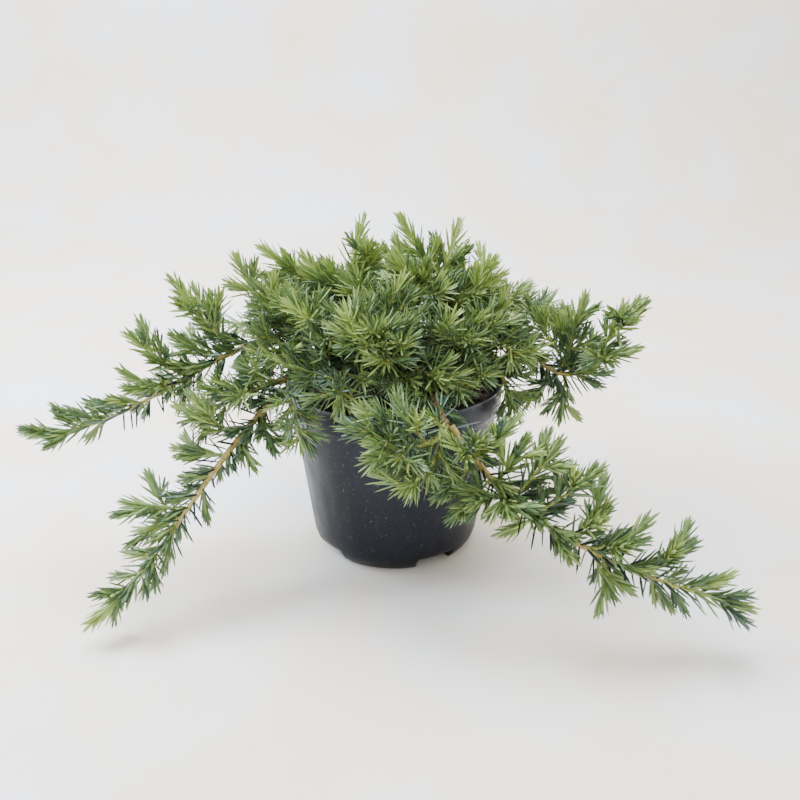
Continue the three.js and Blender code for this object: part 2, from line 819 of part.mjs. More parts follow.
// The free face of the parent that lies nearest to a side shoot's place and heading
function nearestFace(parent, plan, heading) {
  const wanted = plan.place * parent.length;
  const ends = ringDistances(parent.length);
  let best = null;
  for (let step = 1; step < parent.rings.length - 1; step += 1) {
    for (let side = 0; side < 3; side += 1) {
      const turned = faceOutward(parent, step, side).outward.dot(heading);
      const offset = Math.abs((ends[step] + ends[step + 1]) / 2 - wanted);
      const cost = offset / WHORL_GAP - 2 * turned;
      if (!parent.faces.has(`${step},${side}`) && turned > 0.25 && (best === null || cost < best.cost)) {
        best = { step, side, cost };
      }
    }
  }
  return best;
}

// A side shoot grows out of a face of its parent. It is shortened twice at most, and left out
// where even that has no room.
function placeShoot(room, skin, mass, parent, plan) {
  const heading = shootCurve(parent.curve, plan.place, plan.roll, plan.angle, 1).v2
    .sub(parent.curve.getPointAt(plan.place)).normalize();
  const face = nearestFace(parent, plan, heading);
  if (face === null) {
    return null;
  }
  const ends = ringDistances(parent.length);
  const place = (ends[face.step] + ends[face.step + 1]) / 2 / parent.length;
  for (const share of SHORTENED) {
    const length = plan.length * share;
    if (length < LEAST_SHOOT * LEAST_SHARE) {
      return null;
    }
    const shoot = makeShoot(shootCurve(parent.curve, place, plan.roll, plan.angle, length), SHOOT_RADIUS, 0);
    const corners = faceCorners(parent, face.step, face.side);
    const joint = collar(corners, shoot.rings[1].corners);
    const stem = stemTriangles(shoot, 1);
    const rods = stemRods(shoot);
    if (hasRoom(room, mass.name, rods) && !skin.isCrossedBy([...joint, ...stem])) {
      takeRoom(room, mass.name, rods);
      skin.add([...joint, ...stem]);
      parent.faces.set(`${face.step},${face.side}`, joint);
      return shoot;
    }
  }
  return null;
}

// Raises the free faces of a shoot into needles where there is room
function placeNeedles(room, skin, mass, shoot, seed) {
  const draw = seeded(seed);
  const ends = ringDistances(shoot.length);
  for (let step = 1; step < shoot.rings.length - 1; step += 1) {
    for (let side = 0; side < 3; side += 1) {
      const lengthDraw = draw();
      const leanDraw = draw();
      const missing = draw();
      const left = shoot.length - BUD_LENGTH - ends[step + 1];
      const key = `${step},${side}`;
      if (shoot.faces.has(key) || missing < shoot.bare * Math.min(1, left / LEAFY_END)) {
        continue;
      }
      const old = Math.min(1, left / LEAN_DISTANCE);
      const lean = radians(YOUNG_LEAN + (OLD_LEAN - YOUNG_LEAN) * old + LEAN_SPREAD * (leanDraw - 0.5));
      const length = NEEDLE_LENGTH * between(NEEDLE_SHARE, () => lengthDraw);
      const { middle, tangent, outward } = faceOutward(shoot, step, side);
      const point = middle.clone().addScaledVector(tangent, length * Math.cos(lean));
      point.addScaledVector(outward, length * Math.sin(lean));
      const [low, high] = [shoot.rings[step].centre, shoot.rings[step + 1].centre];
      const rods = [low, middle, high].map((from) => [from, point, NEEDLE_REACH]);
      const spike = spikedFace(faceCorners(shoot, step, side), point);
      const free = isClearOfPot(point, 1) && isClearOfPot(middle.clone().lerp(point, 0.5), 1)
        && rods.every(([from, to, radius]) => room.isClear(mass.name, from, to, radius));
      if (free && !skin.isCrossedBy(spike)) {
        skin.add(spike);
        shoot.faces.set(key, spike);
      }
    }
  }
}

// A mass as one closed skin: the axis with its flat root, and every shoot that grows from it
function massGeometry(mass) {
  const axisRoot = mass.axis.rings[0].corners;
  const triangles = [[axisRoot[0], axisRoot[2], axisRoot[1]]];
  for (let side = 0; side < 3; side += 1) {
    triangles.push(...flatFace(faceCorners(mass.axis, 0, side)));
  }
  for (const shoot of mass.shoots) {
    const last = shoot.rings.length - 1;
    for (let step = 1; step < last; step += 1) {
      for (let side = 0; side < 3; side += 1) {
        triangles.push(...(shoot.faces.get(`${step},${side}`) ?? flatFace(faceCorners(shoot, step, side))));
      }
    }
    triangles.push(...stemTriangles(shoot, last));
  }
  return geometryFrom(triangles);
}

// Stem and boughs

const stemRoot = new THREE.Vector3(0, 0, MIX_HEIGHT + MIX_CROWN + SEAT);
const stemTip = new THREE.Vector3(...STEM_LEAN).setZ(STEM_TOP);
const stemCurve = new THREE.CubicBezierCurve3(
  stemRoot,
  stemRoot.clone().addScaledVector(UP, STEM_STIFF_LENGTH),
  stemTip.clone().addScaledVector(UP, -STEM_STIFF_LENGTH),
  stemTip,
);

function stemSolid(grow) {
  const flare = STEM_FLARE_RADIUS - STEM_RADIUS;
  return taperedLimb(stemCurve, STEM_RADIUS + grow, STEM_TOP_RADIUS + grow, 9, 8, flare);
}

function boughCurve(bough) {
  const part = (bough.height - stemRoot.z) / (STEM_TOP - stemRoot.z);
  const root = stemCurve.getPointAt(part);
  if (part === 1) {
    root.addScaledVector(UP, SEAT);
  }
  const tip = new THREE.Vector3(...bough.tip);
  const heading = part === 1 ? UP : tip.clone().sub(root).setZ(0).normalize();
  return limbCurve(root, heading, tip, bough);
}

// Seats for the masses on a bough's end, evenly round it and in the order of their aims
function forkSeats(bough, curve) {
  const end = curve.getPointAt(1);
  const tangent = curve.getTangentAt(1);
  const { upper, right } = directionsRound(tangent);
  const count = bough.masses.length;
  const aims = bough.masses.map(({ tip }) => {
    const aim = new THREE.Vector3(...tip).sub(end);
    return Math.atan2(aim.dot(right), aim.dot(upper));
  });
  const order = aims.map((_, index) => index).sort((first, second) => aims[first] - aims[second]);
  const share = (2 * Math.PI) / count;
  const start = order.reduce((sum, index, rank) => sum + aims[index] - rank * share, 0) / count;
  const offset = count === 1 ? 0 : (AXIS_RADIUS + SEAT) / Math.sin(Math.PI / count);
  return aims.map((_, index) => {
    const turn = start + share * order.indexOf(index);
    const seat = end.clone().addScaledVector(tangent, SEAT);
    seat.addScaledVector(upper, offset * Math.cos(turn));
    return seat.addScaledVector(right, offset * Math.sin(turn));
  });
}

// Growing the plant

const room = new Room();
const woodyRoom = new Room();
const skin = new Skin();
const boughs = [];
const masses = [];

for (const row of BOUGHS) {
  const bough = { ...PLAIN_LIMB, ...row };
  const curve = boughCurve(bough);
  const name = `bough_${bough.name}`;
  boughs.push({ name, curve });
  const rods = stemRods({ curve, length: curve.getLength(), radius: BOUGH_ROOT_RADIUS });
  takeRoom(room, name, rods);
  takeRoom(woodyRoom, name, rods);
  const seats = forkSeats(bough, curve);
  bough.masses.forEach((massRow, index) => {
    const plan = { ...PLAIN_LIMB, ...massRow };
    const heading = curve.getTangentAt(1);
    const axisCurve = limbCurve(seats[index], heading, new THREE.Vector3(...plan.tip), plan);
    const axis = makeShoot(axisCurve, AXIS_RADIUS, plan.bare, heading);
    const mass = { name: `needles_${plan.name}`, plan, axis, shoots: [axis], seed: 100 * masses.length };
    skin.add(stemTriangles(axis, 0));
    masses.push(mass);
    takeRoom(room, mass.name, stemRods(axis));
  });
}

for (const space of [room, woodyRoom]) {
  takeRoom(space, 'main_stem', [[stemRoot, stemTip, STEM_FLARE_RADIUS]]);
}

for (const mass of masses) {
  mass.plans = sideShoots(mass.axis.curve, mass.plan, mass.seed);
}

const mostPlans = Math.max(...masses.map((mass) => mass.plans.length));
for (let index = 0; index < mostPlans; index += 1) {
  for (const mass of masses) {
    const plan = mass.plans[index];
    const shoot = plan && placeShoot(room, skin, mass, mass.axis, plan);
    if (shoot) {
      mass.shoots.push(shoot);
    }
  }
}

for (const mass of masses) {
  const firstOrder = mass.shoots.slice(1);
  firstOrder.forEach((parent, index) => {
    for (const plan of smallShoots(parent.curve, mass.seed + 50 + index)) {
      const shoot = placeShoot(room, skin, mass, parent, plan);
      if (shoot) {
        mass.shoots.push(shoot);
      }
    }
  });
}

const mostShoots = Math.max(...masses.map((mass) => mass.shoots.length));
for (let index = 0; index < mostShoots; index += 1) {
  for (const mass of masses) {
    if (mass.shoots[index]) {
      placeNeedles(woodyRoom, skin, mass, mass.shoots[index], mass.seed + index);
    }
  }
}

// Assembly

const plasticMaterial = new THREE.MeshStandardMaterial({ color: 0x24262b, roughness: 0.55, metalness: 0 });
const mixMaterial = new THREE.MeshStandardMaterial({ color: 0x2a211b, roughness: 0.95, metalness: 0 });
const barkMaterial = new THREE.MeshStandardMaterial({ color: 0x8a6238, roughness: 0.85, metalness: 0 });
const needleMaterial = new THREE.MeshStandardMaterial({ color: 0x4f7a34, roughness: 0.6, metalness: 0 });

const juniper = new THREE.Group();

function place(name, geometry, material) {
  const mesh = new THREE.Mesh(geometry, material.clone());
  mesh.name = name;
  juniper.add(mesh);
}

place('pot', toGeometry(potSolid()), plasticMaterial);
place('potting_mix', toGeometry(mixSolid()), mixMaterial);
place('main_stem', toGeometry(stemSolid(0)), barkMaterial);

const stemWithGap = stemSolid(SEAT);
for (const { name, curve } of boughs) {
  const limb = taperedLimb(curve, BOUGH_ROOT_RADIUS, BOUGH_TIP_RADIUS, 6, 4);
  place(name, toGeometry(limb.subtract(stemWithGap)), barkMaterial);
}

for (const mass of masses) {
  place(mass.name, massGeometry(mass), needleMaterial);
}

export default juniper;
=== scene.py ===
import math

import bpy
import numpy as np
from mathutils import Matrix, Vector


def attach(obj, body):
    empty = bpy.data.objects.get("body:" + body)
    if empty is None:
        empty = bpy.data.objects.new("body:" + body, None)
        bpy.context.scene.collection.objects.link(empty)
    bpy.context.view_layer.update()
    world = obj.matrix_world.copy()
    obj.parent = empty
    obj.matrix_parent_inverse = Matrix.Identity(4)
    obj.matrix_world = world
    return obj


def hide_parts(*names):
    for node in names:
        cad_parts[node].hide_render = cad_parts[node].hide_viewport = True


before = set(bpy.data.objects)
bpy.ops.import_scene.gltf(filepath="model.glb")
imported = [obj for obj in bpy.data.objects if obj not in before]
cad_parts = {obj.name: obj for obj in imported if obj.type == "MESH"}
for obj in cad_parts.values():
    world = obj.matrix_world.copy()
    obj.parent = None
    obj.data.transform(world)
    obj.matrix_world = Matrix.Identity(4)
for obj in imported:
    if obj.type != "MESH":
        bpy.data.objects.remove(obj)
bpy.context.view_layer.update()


# Pot
# Thermoformed from one sheet of black polypropylene: a thin tapered wall, a deep rim band over a
# ledge, a rolled lip, and four drainage notches pressed into the foot. It stands on its foot.

MM = 0.001
RIM_RADIUS = 60
POT_HEIGHT = 99
LEDGE_HEIGHT = 84
BAND_FOOT_RADIUS = 58.2
WALL_TOP_RADIUS = 56.5
WALL_FOOT_RADIUS = 47.7
WALL_FOOT_HEIGHT = 13.6
FOOT_RADIUS = 40.5
BAND_TOP_RADIUS = 59.1
WALL = 1.2
LIP_HEIGHT = 1.4
LIP_RADIUS = 0.55
POT_SEGMENTS = 360
WALL_ROWS = 22
BAND_ROWS = 7
INNER_BAND_ROWS = 6
INNER_WALL_ROWS = 8
NOTCH_AZIMUTHS = [32, 122, 216, 300]
NOTCH_ANGLE = 29
NOTCH_HEIGHT = 7.5
NOTCH_INNER_RADIUS = 31
NOTCH_SLOPE = 1.1
NOTCH_BLEND = 1.5
WALL_FLUTES = 31
WALL_RIPPLE = 0.05
RIM_OVAL = 0.006
RIM_WARP = 0.72

# The underside's radii, and the rounded edges as radius and height: the foot's, then the ledge's
# from the top of the wall and the band's from its own foot
UNDERSIDE = [20, 28, NOTCH_INNER_RADIUS, 33, 36, 39, 39.75, FOOT_RADIUS]
FOOT_EDGE = [(41.6, 0.25), (42.6, 0.8), (44.1, 2.4), (45.4, 4.4), (46.3, 6.4), (47, 8.8), (47.4, 11.2)]
LEDGE_EDGE = [(0, -0.5), (0.3, -0.1), (0.8, 0)]
BAND_EDGE = [(-0.35, 0.05), (0, 0.45)]


def new_object(name, data):
    """A mesh, light or camera as an object in the scene."""
    added = bpy.data.objects.new(name, data)
    bpy.context.scene.collection.objects.link(added)
    return added


def mesh_piece(name, vertices, face_groups, material, smooth=False):
    """A new piece from corners in millimetres and groups of faces with one number of corners each."""
    mesh = bpy.data.meshes.new(name)
    corners = np.concatenate([np.ravel(group) for group in face_groups]).astype(np.int32)
    sizes = np.concatenate([np.full(len(group), len(group[0])) for group in face_groups])
    mesh.vertices.add(len(vertices))
    mesh.vertices.foreach_set("co", (np.asarray(vertices, float) * MM).astype(np.float32).ravel())
    mesh.loops.add(len(corners))
    mesh.loops.foreach_set("vertex_index", corners)
    mesh.polygons.add(len(sizes))
    mesh.polygons.foreach_set("loop_start", (np.cumsum(sizes) - sizes).astype(np.int32))
    mesh.polygons.foreach_set("use_smooth", np.full(len(sizes), smooth))
    mesh.materials.append(material)
    mesh.update(calc_edges=True)
    return new_object(name, mesh)


def grid_faces(rows, columns):
    """Quads of a sheet that closes on itself along its columns."""
    row, column = np.meshgrid(np.arange(rows - 1), np.arange(columns), indexing="ij")
    after = (column + 1) % columns
    quads = [row * columns + column, row * columns + after,
             (row + 1) * columns + after, (row + 1) * columns + column]
    return np.stack(quads, axis=-1).reshape(-1, 4)


def closed_faces(rows, columns):
    """The same sheet with a face over its first and its last row."""
    first_row, last_row = np.arange(columns)[None], (rows - 1) * columns + np.arange(columns)[None]
    return [grid_faces(rows, columns), first_row[:, ::-1], last_row]


def smooth_step(value, low, high):
    part = np.clip((value - low) / (high - low), 0, 1)
    return part * part * (3 - 2 * part)


def arc(centre, radius, start, end, count):
    """Points of an arc in the plane of radius and height, by angles in degrees."""
    turns = np.radians(np.linspace(start, end, count))
    return [(centre[0] + radius * math.cos(t), centre[1] + radius * math.sin(t)) for t in turns]


def straight(first, last, count):
    return [tuple(point) for point in np.linspace(first, last, count, endpoint=False)]


def linear(code):
    """An sRGB hex colour as linear red, green, blue and alpha."""
    parts = [int(code[i:i + 2], 16) / 255 for i in (1, 3, 5)]
    return [p / 12.92 if p <= 0.04045 else ((p + 0.055) / 1.055) ** 2.4 for p in parts] + [1.0]


def add_node(tree, kind, inputs=None, **settings):
    """Adds a node with its settings. Inputs are values, or sockets to link from."""
    node = tree.nodes.new(kind)
    for name, value in settings.items():
        setattr(node, name, value)
    for key, value in (inputs or {}).items():
        if isinstance(value, bpy.types.NodeSocket):
            tree.links.new(value, node.inputs[key])
        else:
            node.inputs[key].default_value = value
    return node


def new_material(name, constants):
    """A material with its constant values on the shader's own sockets, and the places on its piece."""
    material = bpy.data.materials.new(name)
    material.use_nodes = True
    tree = material.node_tree
    shader = tree.nodes["Principled BSDF"]
    for key, value in constants.items():
        shader.inputs[key].default_value = value
    place = add_node(tree, "ShaderNodeTexCoord").outputs["Object"]
    return material, tree, shader, place


def scale_of(size):
    """Texture scale whose pattern has that size in millimetres."""
    return 1 / (size * MM)


def noise_share(tree, coordinates, size, low, high, detail=3.0):
    """Share from 0 to 1 where a noise of that grain passes from low to high."""
    noise = add_node(tree, "ShaderNodeTexNoise",
                     {"Vector": coordinates, "Scale": scale_of(size), "Detail": detail})
    ranged = add_node(tree, "ShaderNodeMapRange",
                      {"Value": noise.outputs["Fac"], "From Min": low, "From Max": high})
    return ranged.outputs["Result"]


def patched(tree, ground, code, place, size, low, high, detail=3.0):
    """A ground colour with patches of another, where a noise of that grain passes from low to high."""
    share = noise_share(tree, place, size, low, high, detail)
    # The node's inputs 0, 6 and 7 are the share and the two colours, and its output 2 is the mix
    mix = add_node(tree, "ShaderNodeMix", {0: share, 6: ground, 7: linear(code)}, data_type="RGBA")
    return mix.outputs[2]


def raised_grain(tree, place, size, detail, strength, depth, under=None):
    """Normal of a grain of that size and depth, which can lie over the normal of a coarser one."""
    noise = add_node(tree, "ShaderNodeTexNoise",
                     {"Vector": place, "Scale": scale_of(size), "Detail": detail})
    bump = add_node(tree, "ShaderNodeBump",
                    {"Height": noise.outputs["Fac"], "Strength": strength, "Distance": depth * MM})
    if under:
        tree.links.new(under, bump.inputs["Normal"])
    return bump.outputs["Normal"]


def pot_profile():
    """Radius and height from the middle of the underside, out, up, over the lip and down inside."""
    lip_middle = (RIM_RADIUS - LIP_RADIUS, POT_HEIGHT - LIP_RADIUS)
    band_foot = (BAND_FOOT_RADIUS + 0.05, LEDGE_HEIGHT + 1.2)
    inner_foot = (WALL_FOOT_RADIUS - WALL, WALL_FOOT_HEIGHT)
    return [
        *[(radius, 0.0) for radius in UNDERSIDE],
        *FOOT_EDGE,
        *straight((WALL_FOOT_RADIUS, WALL_FOOT_HEIGHT), (WALL_TOP_RADIUS, LEDGE_HEIGHT - 0.6), WALL_ROWS),
        *[(WALL_TOP_RADIUS + out, LEDGE_HEIGHT + up) for out, up in LEDGE_EDGE],
        *[(BAND_FOOT_RADIUS + out, LEDGE_HEIGHT + up) for out, up in BAND_EDGE],
        *straight(band_foot, (BAND_TOP_RADIUS, POT_HEIGHT - LIP_HEIGHT), BAND_ROWS),
        (BAND_TOP_RADIUS + 0.2, POT_HEIGHT - LIP_HEIGHT - 0.1),
        *arc(lip_middle, LIP_RADIUS, -40, 180, 9),
        *straight((BAND_TOP_RADIUS - WALL, POT_HEIGHT - 1.6),
                  (BAND_FOOT_RADIUS - WALL, LEDGE_HEIGHT + WALL), INNER_BAND_ROWS),
        (WALL_TOP_RADIUS - WALL, LEDGE_HEIGHT + 0.4),
        *straight((WALL_TOP_RADIUS - WALL, LEDGE_HEIGHT - 1), inner_foot, INNER_WALL_ROWS),
        (FOOT_EDGE[3][0] - WALL, 5.2), (FOOT_RADIUS - WALL, WALL), (NOTCH_INNER_RADIUS - WALL, WALL),
        (UNDERSIDE[0], WALL),
    ]


def pot_vertices():
    radius, height = np.array(pot_profile()).T
    azimuth = np.linspace(0, 2 * math.pi, POT_SEGMENTS, endpoint=False)
    radius, turn = np.meshgrid(radius, azimuth, indexing="ij")
    height = np.repeat(height[:, None], POT_SEGMENTS, axis=1)
    inner = (np.arange(len(radius)) > np.argmax(height[:, 0]))[:, None]
    for middle in NOTCH_AZIMUTHS:
        away = np.abs((np.degrees(turn) - middle + 180) % 360 - 180)
        half = np.degrees(NOTCH_SLOPE / FOOT_RADIUS) / 2
        across = 1 - smooth_step(away, NOTCH_ANGLE / 2 - half, NOTCH_ANGLE / 2 + half)
        outward = smooth_step(radius, NOTCH_INNER_RADIUS - NOTCH_BLEND, NOTCH_INNER_RADIUS + NOTCH_BLEND)
        roof = (NOTCH_HEIGHT + WALL * inner) * across * outward
        height = np.maximum(height, np.where(height < NOTCH_HEIGHT + WALL, roof, 0))
    # Thin sheet is never quite true: the rim is a little oval and lower on the left, and the wall
    # carries faint upright flutes
    up = np.clip(height / POT_HEIGHT, 0, 1)
    on_wall = np.sin(math.pi * np.clip(height / LEDGE_HEIGHT, 0, 1)) ** 2
    radius = radius + WALL_RIPPLE * np.sin(WALL_FLUTES * turn + 1.3) * on_wall
    radius = radius * (1 + RIM_OVAL * up * np.sin(2 * turn + 0.6))
    height = height - RIM_WARP * up ** 4 * (1 - np.cos(turn))
    return np.stack([radius * np.cos(turn), radius * np.sin(turn), height], axis=-1).reshape(-1, 3)


# Black polypropylene, drawn over a mould: satin with a cool sheen, greyed in patches and streaks by
# watering. Its specks of dust are drawn over 1 mm apart, coarser than dust, so that they show.
pot_material, tree, shader, place = new_material("black_polypropylene", {
    "IOR": 1.49, "Specular IOR Level": 0.36, "Specular Tint": linear("#d9e3ff")})
bloom = noise_share(tree, place, 22, 0.38, 0.72, 5.0)
bloomed = add_node(tree, "ShaderNodeMix", {0: bloom, 6: linear("#060709"), 7: linear("#0d1015")},
                   data_type="RGBA")
streaks_place = add_node(tree, "ShaderNodeMapping", {"Vector": place, "Scale": (1, 1, 0.16)})
colour = patched(tree, bloomed.outputs[2], "#181b21", streaks_place.outputs["Vector"], 3.2, 0.56, 0.8, 4.0)
colour = patched(tree, colour, "#54575c", place, 1.3, 0.63, 0.78, 5.0)
tree.links.new(colour, shader.inputs["Base Color"])
gloss = add_node(tree, "ShaderNodeMapRange", {"Value": bloom, "To Min": 0.36, "To Max": 0.52})
tree.links.new(gloss.outputs["Result"], shader.inputs["Roughness"])
tree.links.new(raised_grain(tree, place, 0.9, 4.0, 0.25, 0.12), shader.inputs["Normal"])

pot = mesh_piece("nursery_pot", pot_vertices(), closed_faces(len(pot_profile()), POT_SEGMENTS),
                 pot_material, smooth=True)
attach(pot, "root")
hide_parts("pot")


# Potting mix
# Moist peat and fine composted bark, filled to a watering space below the rim and slightly
# crowned round the stem. Loose crumbs and chips lie on it.

MIX_HEIGHT = 86
MIX_CROWN = 2.5
MIX_SLOPE = (18, 57)
MIX_EDGE_GAP = 0.3
MIX_RINGS = 46
MIX_SEGMENTS = 150
LUMP_HEIGHT = 1.3
LUMP_SIZE = 6
CRUMB_SIZE = 2.4
LUMPY_RADIUS = 54
EDGE_LUMPS = 0.25
MIX_SUNK = 0.8
CHIP_SIZE = 1.5
LEAST_CHIP = (0.25, 0.3, 0.2)
LARGEST_CHIP = (1.1, 0.8, 0.45)
CHIPS_PER_SQUARE_METRE = 160000


def value_noise(points, size, seed):
    """Smooth noise from -1 to 1 at points, with a grain of that size, from a seeded lattice."""
    table = np.random.default_rng(seed).uniform(-1, 1, (32, 32, 32))
    cell = np.asarray(points) / size
    base = np.floor(cell).astype(int)
    part = cell - base
    part = part * part * (3 - 2 * part)
    total = 0
    for corner in np.ndindex(2, 2, 2):
        share = np.prod(np.where(np.array(corner) == 1, part, 1 - part), axis=-1)
        index = (base + np.array(corner)) % 32
        total = total + share * table[index[..., 0], index[..., 1], index[..., 2]]
    return total


def mix_vertices():
    """Rings of corners from the stem out over the lumpy bed, and one below its edge."""
    reach = np.linspace(0.002, 1, MIX_RINGS) * (BAND_FOOT_RADIUS - WALL - MIX_EDGE_GAP)
    turn = np.linspace(0, 2 * math.pi, MIX_SEGMENTS, endpoint=False)
    radius, turn = np.meshgrid(reach, turn, indexing="ij")
    crown = MIX_CROWN * (1 - smooth_step(radius, *MIX_SLOPE))
    top = np.stack([radius * np.cos(turn), radius * np.sin(turn), MIX_HEIGHT + crown], axis=-1)
    inside = 1 - smooth_step(radius, LUMPY_RADIUS, reach[-1])
    lumps = LUMP_HEIGHT * (value_noise(top, LUMP_SIZE, 3) + 0.5 * value_noise(top, CRUMB_SIZE, 4))
    top[..., 2] += lumps * (EDGE_LUMPS + (1 - EDGE_LUMPS) * inside) - MIX_SUNK
    side = top[-1:].copy()
    side[..., 2] = LEDGE_HEIGHT + WALL + MIX_EDGE_GAP
    body = np.concatenate([top, side])
    return body[::-1].reshape(-1, 3)


def set_input(modifier, name, value):
    """Sets a modifier's input by the identifier of the socket with that name."""
    for item in modifier.node_group.interface.items_tree:
        if item.item_type == "SOCKET" and item.in_out == "INPUT" and item.name == name:
            modifier[item.identifier] = value


def new_tree(name, inputs):
    """A geometry tree with a mesh input and output, and other inputs by their name and kind."""
    tree = bpy.data.node_groups.new(name, "GeometryNodeTree")
    tree.interface.new_socket("Geometry", in_out="INPUT", socket_type="NodeSocketGeometry")
    for label, kind in inputs:
        tree.interface.new_socket(label, in_out="INPUT", socket_type=kind)
    tree.interface.new_socket("Geometry", in_out="OUTPUT", socket_type="NodeSocketGeometry")
    return tree, tree.nodes.new("NodeGroupInput").outputs


def end_tree(tree, geometry, material):
    """Ends a tree in Realize Instances and Set Material."""
    real = add_node(tree, "GeometryNodeRealizeInstances", {"Geometry": geometry})
    dressed = add_node(tree, "GeometryNodeSetMaterial",
                       {"Geometry": real.outputs["Geometry"], "Material": material})
    add_node(tree, "NodeGroupOutput", {"Geometry": dressed.outputs["Geometry"]})


def grown_piece(source, tree, values, name):
    """The plain mesh that a geometry tree makes on a source, which is then removed."""
    modifier = source.modifiers.new(tree.name, "NODES")
    modifier.node_group = tree
    for label, value in values.items():
        set_input(modifier, label, value)
    evaluated = source.evaluated_get(bpy.context.evaluated_depsgraph_get())
    mesh = bpy.data.meshes.new_from_object(evaluated)
    source.modifiers.remove(modifier)
    bpy.data.objects.remove(source)
    mesh.name = name
    return new_object(name, mesh)


# Moist peat and bark: nearly black in its pits, brown on its chips, without gloss
mix_material, tree, shader, place = new_material(
    "peat_and_bark", {"Roughness": 0.92, "Specular IOR Level": 0.3})
colour = patched(tree, linear("#1d1611"), "#3d2c20", place, 3, 0.4, 0.66, 5.0)
colour = patched(tree, colour, "#6a4d36", place, 1.6, 0.62, 0.7)
tree.links.new(colour, shader.inputs["Base Color"])
tree.links.new(raised_grain(tree, place, 0.8, 5.0, 0.8, 0.5), shader.inputs["Normal"])

mix_faces = closed_faces(MIX_RINGS + 1, MIX_SEGMENTS)
mix = mesh_piece("potting_mix_bed", mix_vertices(), mix_faces, mix_material, smooth=True)
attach(mix, "root")
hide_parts("potting_mix")

tree, given = new_tree("scatter_chips", [("Density", "NodeSocketFloat"), ("Chip size", "NodeSocketFloat"),
                                         ("Seed", "NodeSocketInt")])
scatter = add_node(tree, "GeometryNodeDistributePointsOnFaces",
                   {"Mesh": given["Geometry"], "Density": given["Density"], "Seed": given["Seed"]})
chip = add_node(tree, "GeometryNodeMeshIcoSphere", {"Radius": given["Chip size"], "Subdivisions": 1})
# The chips lie at any turn, in radians, about each axis
turned = add_node(tree, "FunctionNodeRandomValue", {"Seed": 11}, data_type="FLOAT_VECTOR")
turned.inputs[1].default_value = (6.3, 6.3, 6.3)
sized = add_node(tree, "FunctionNodeRandomValue", {"Seed": 12}, data_type="FLOAT_VECTOR")
sized.inputs[0].default_value = LEAST_CHIP
sized.inputs[1].default_value = LARGEST_CHIP
chips = add_node(tree, "GeometryNodeInstanceOnPoints",
                 {"Points": scatter.outputs["Points"], "Instance": chip.outputs["Mesh"],
                  "Rotation": turned.outputs[0], "Scale": sized.outputs[0]})
end_tree(tree, chips.outputs["Instances"], mix_material)
bed = mesh_piece("bed", mix_vertices()[MIX_SEGMENTS:], [grid_faces(MIX_RINGS, MIX_SEGMENTS)], mix_material)
chip_pieces = grown_piece(bed, tree, {"Density": CHIPS_PER_SQUARE_METRE, "Chip size": CHIP_SIZE * MM,
                                      "Seed": 5}, "bark_chips")
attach(chip_pieces, "root")


# Stem and boughs
# A short woody stem, flared where it leaves the mix and leaning a little forward, forks into the
# main boughs. Its thin bark is grey brown and peels lengthwise in small strips.

MIX_TOP = MIX_HEIGHT + MIX_CROWN
STEM_TOP = 116
STEM_FLARE_RADIUS = 7.2
STEM_RADIUS = 4.9
STEM_TOP_RADIUS = 2.7
STEM_LEAN = (-2.5, -3)
STEM_STIFF_LENGTH = 9
STEM_SUNK = 3
BOUGH_ROOT_RADIUS = 2.3
BOUGH_TIP_RADIUS = 1.7
BOUGH_COLLAR = 0.6
FLARE_SHARE = 0.25
BARK_SIDES = 28
BARK_STEP = 0.7
BARK_RELIEF = 0.42
BARK_SUNK = 0.1
STRIP_GRAIN = 0.55
STRIP_STRETCH = 5
STRIPS_ROUND = 1.7
STRIP_SHARE = 0.7
KNOT_GRAIN = 1.4
KNOT_STRETCH = 3
KNOT_SHARE = 0.8
SEAT = 0.3
UP = np.array([0.0, 0.0, 1.0])
FRONT = np.array([0.0, -1.0, 0.0])

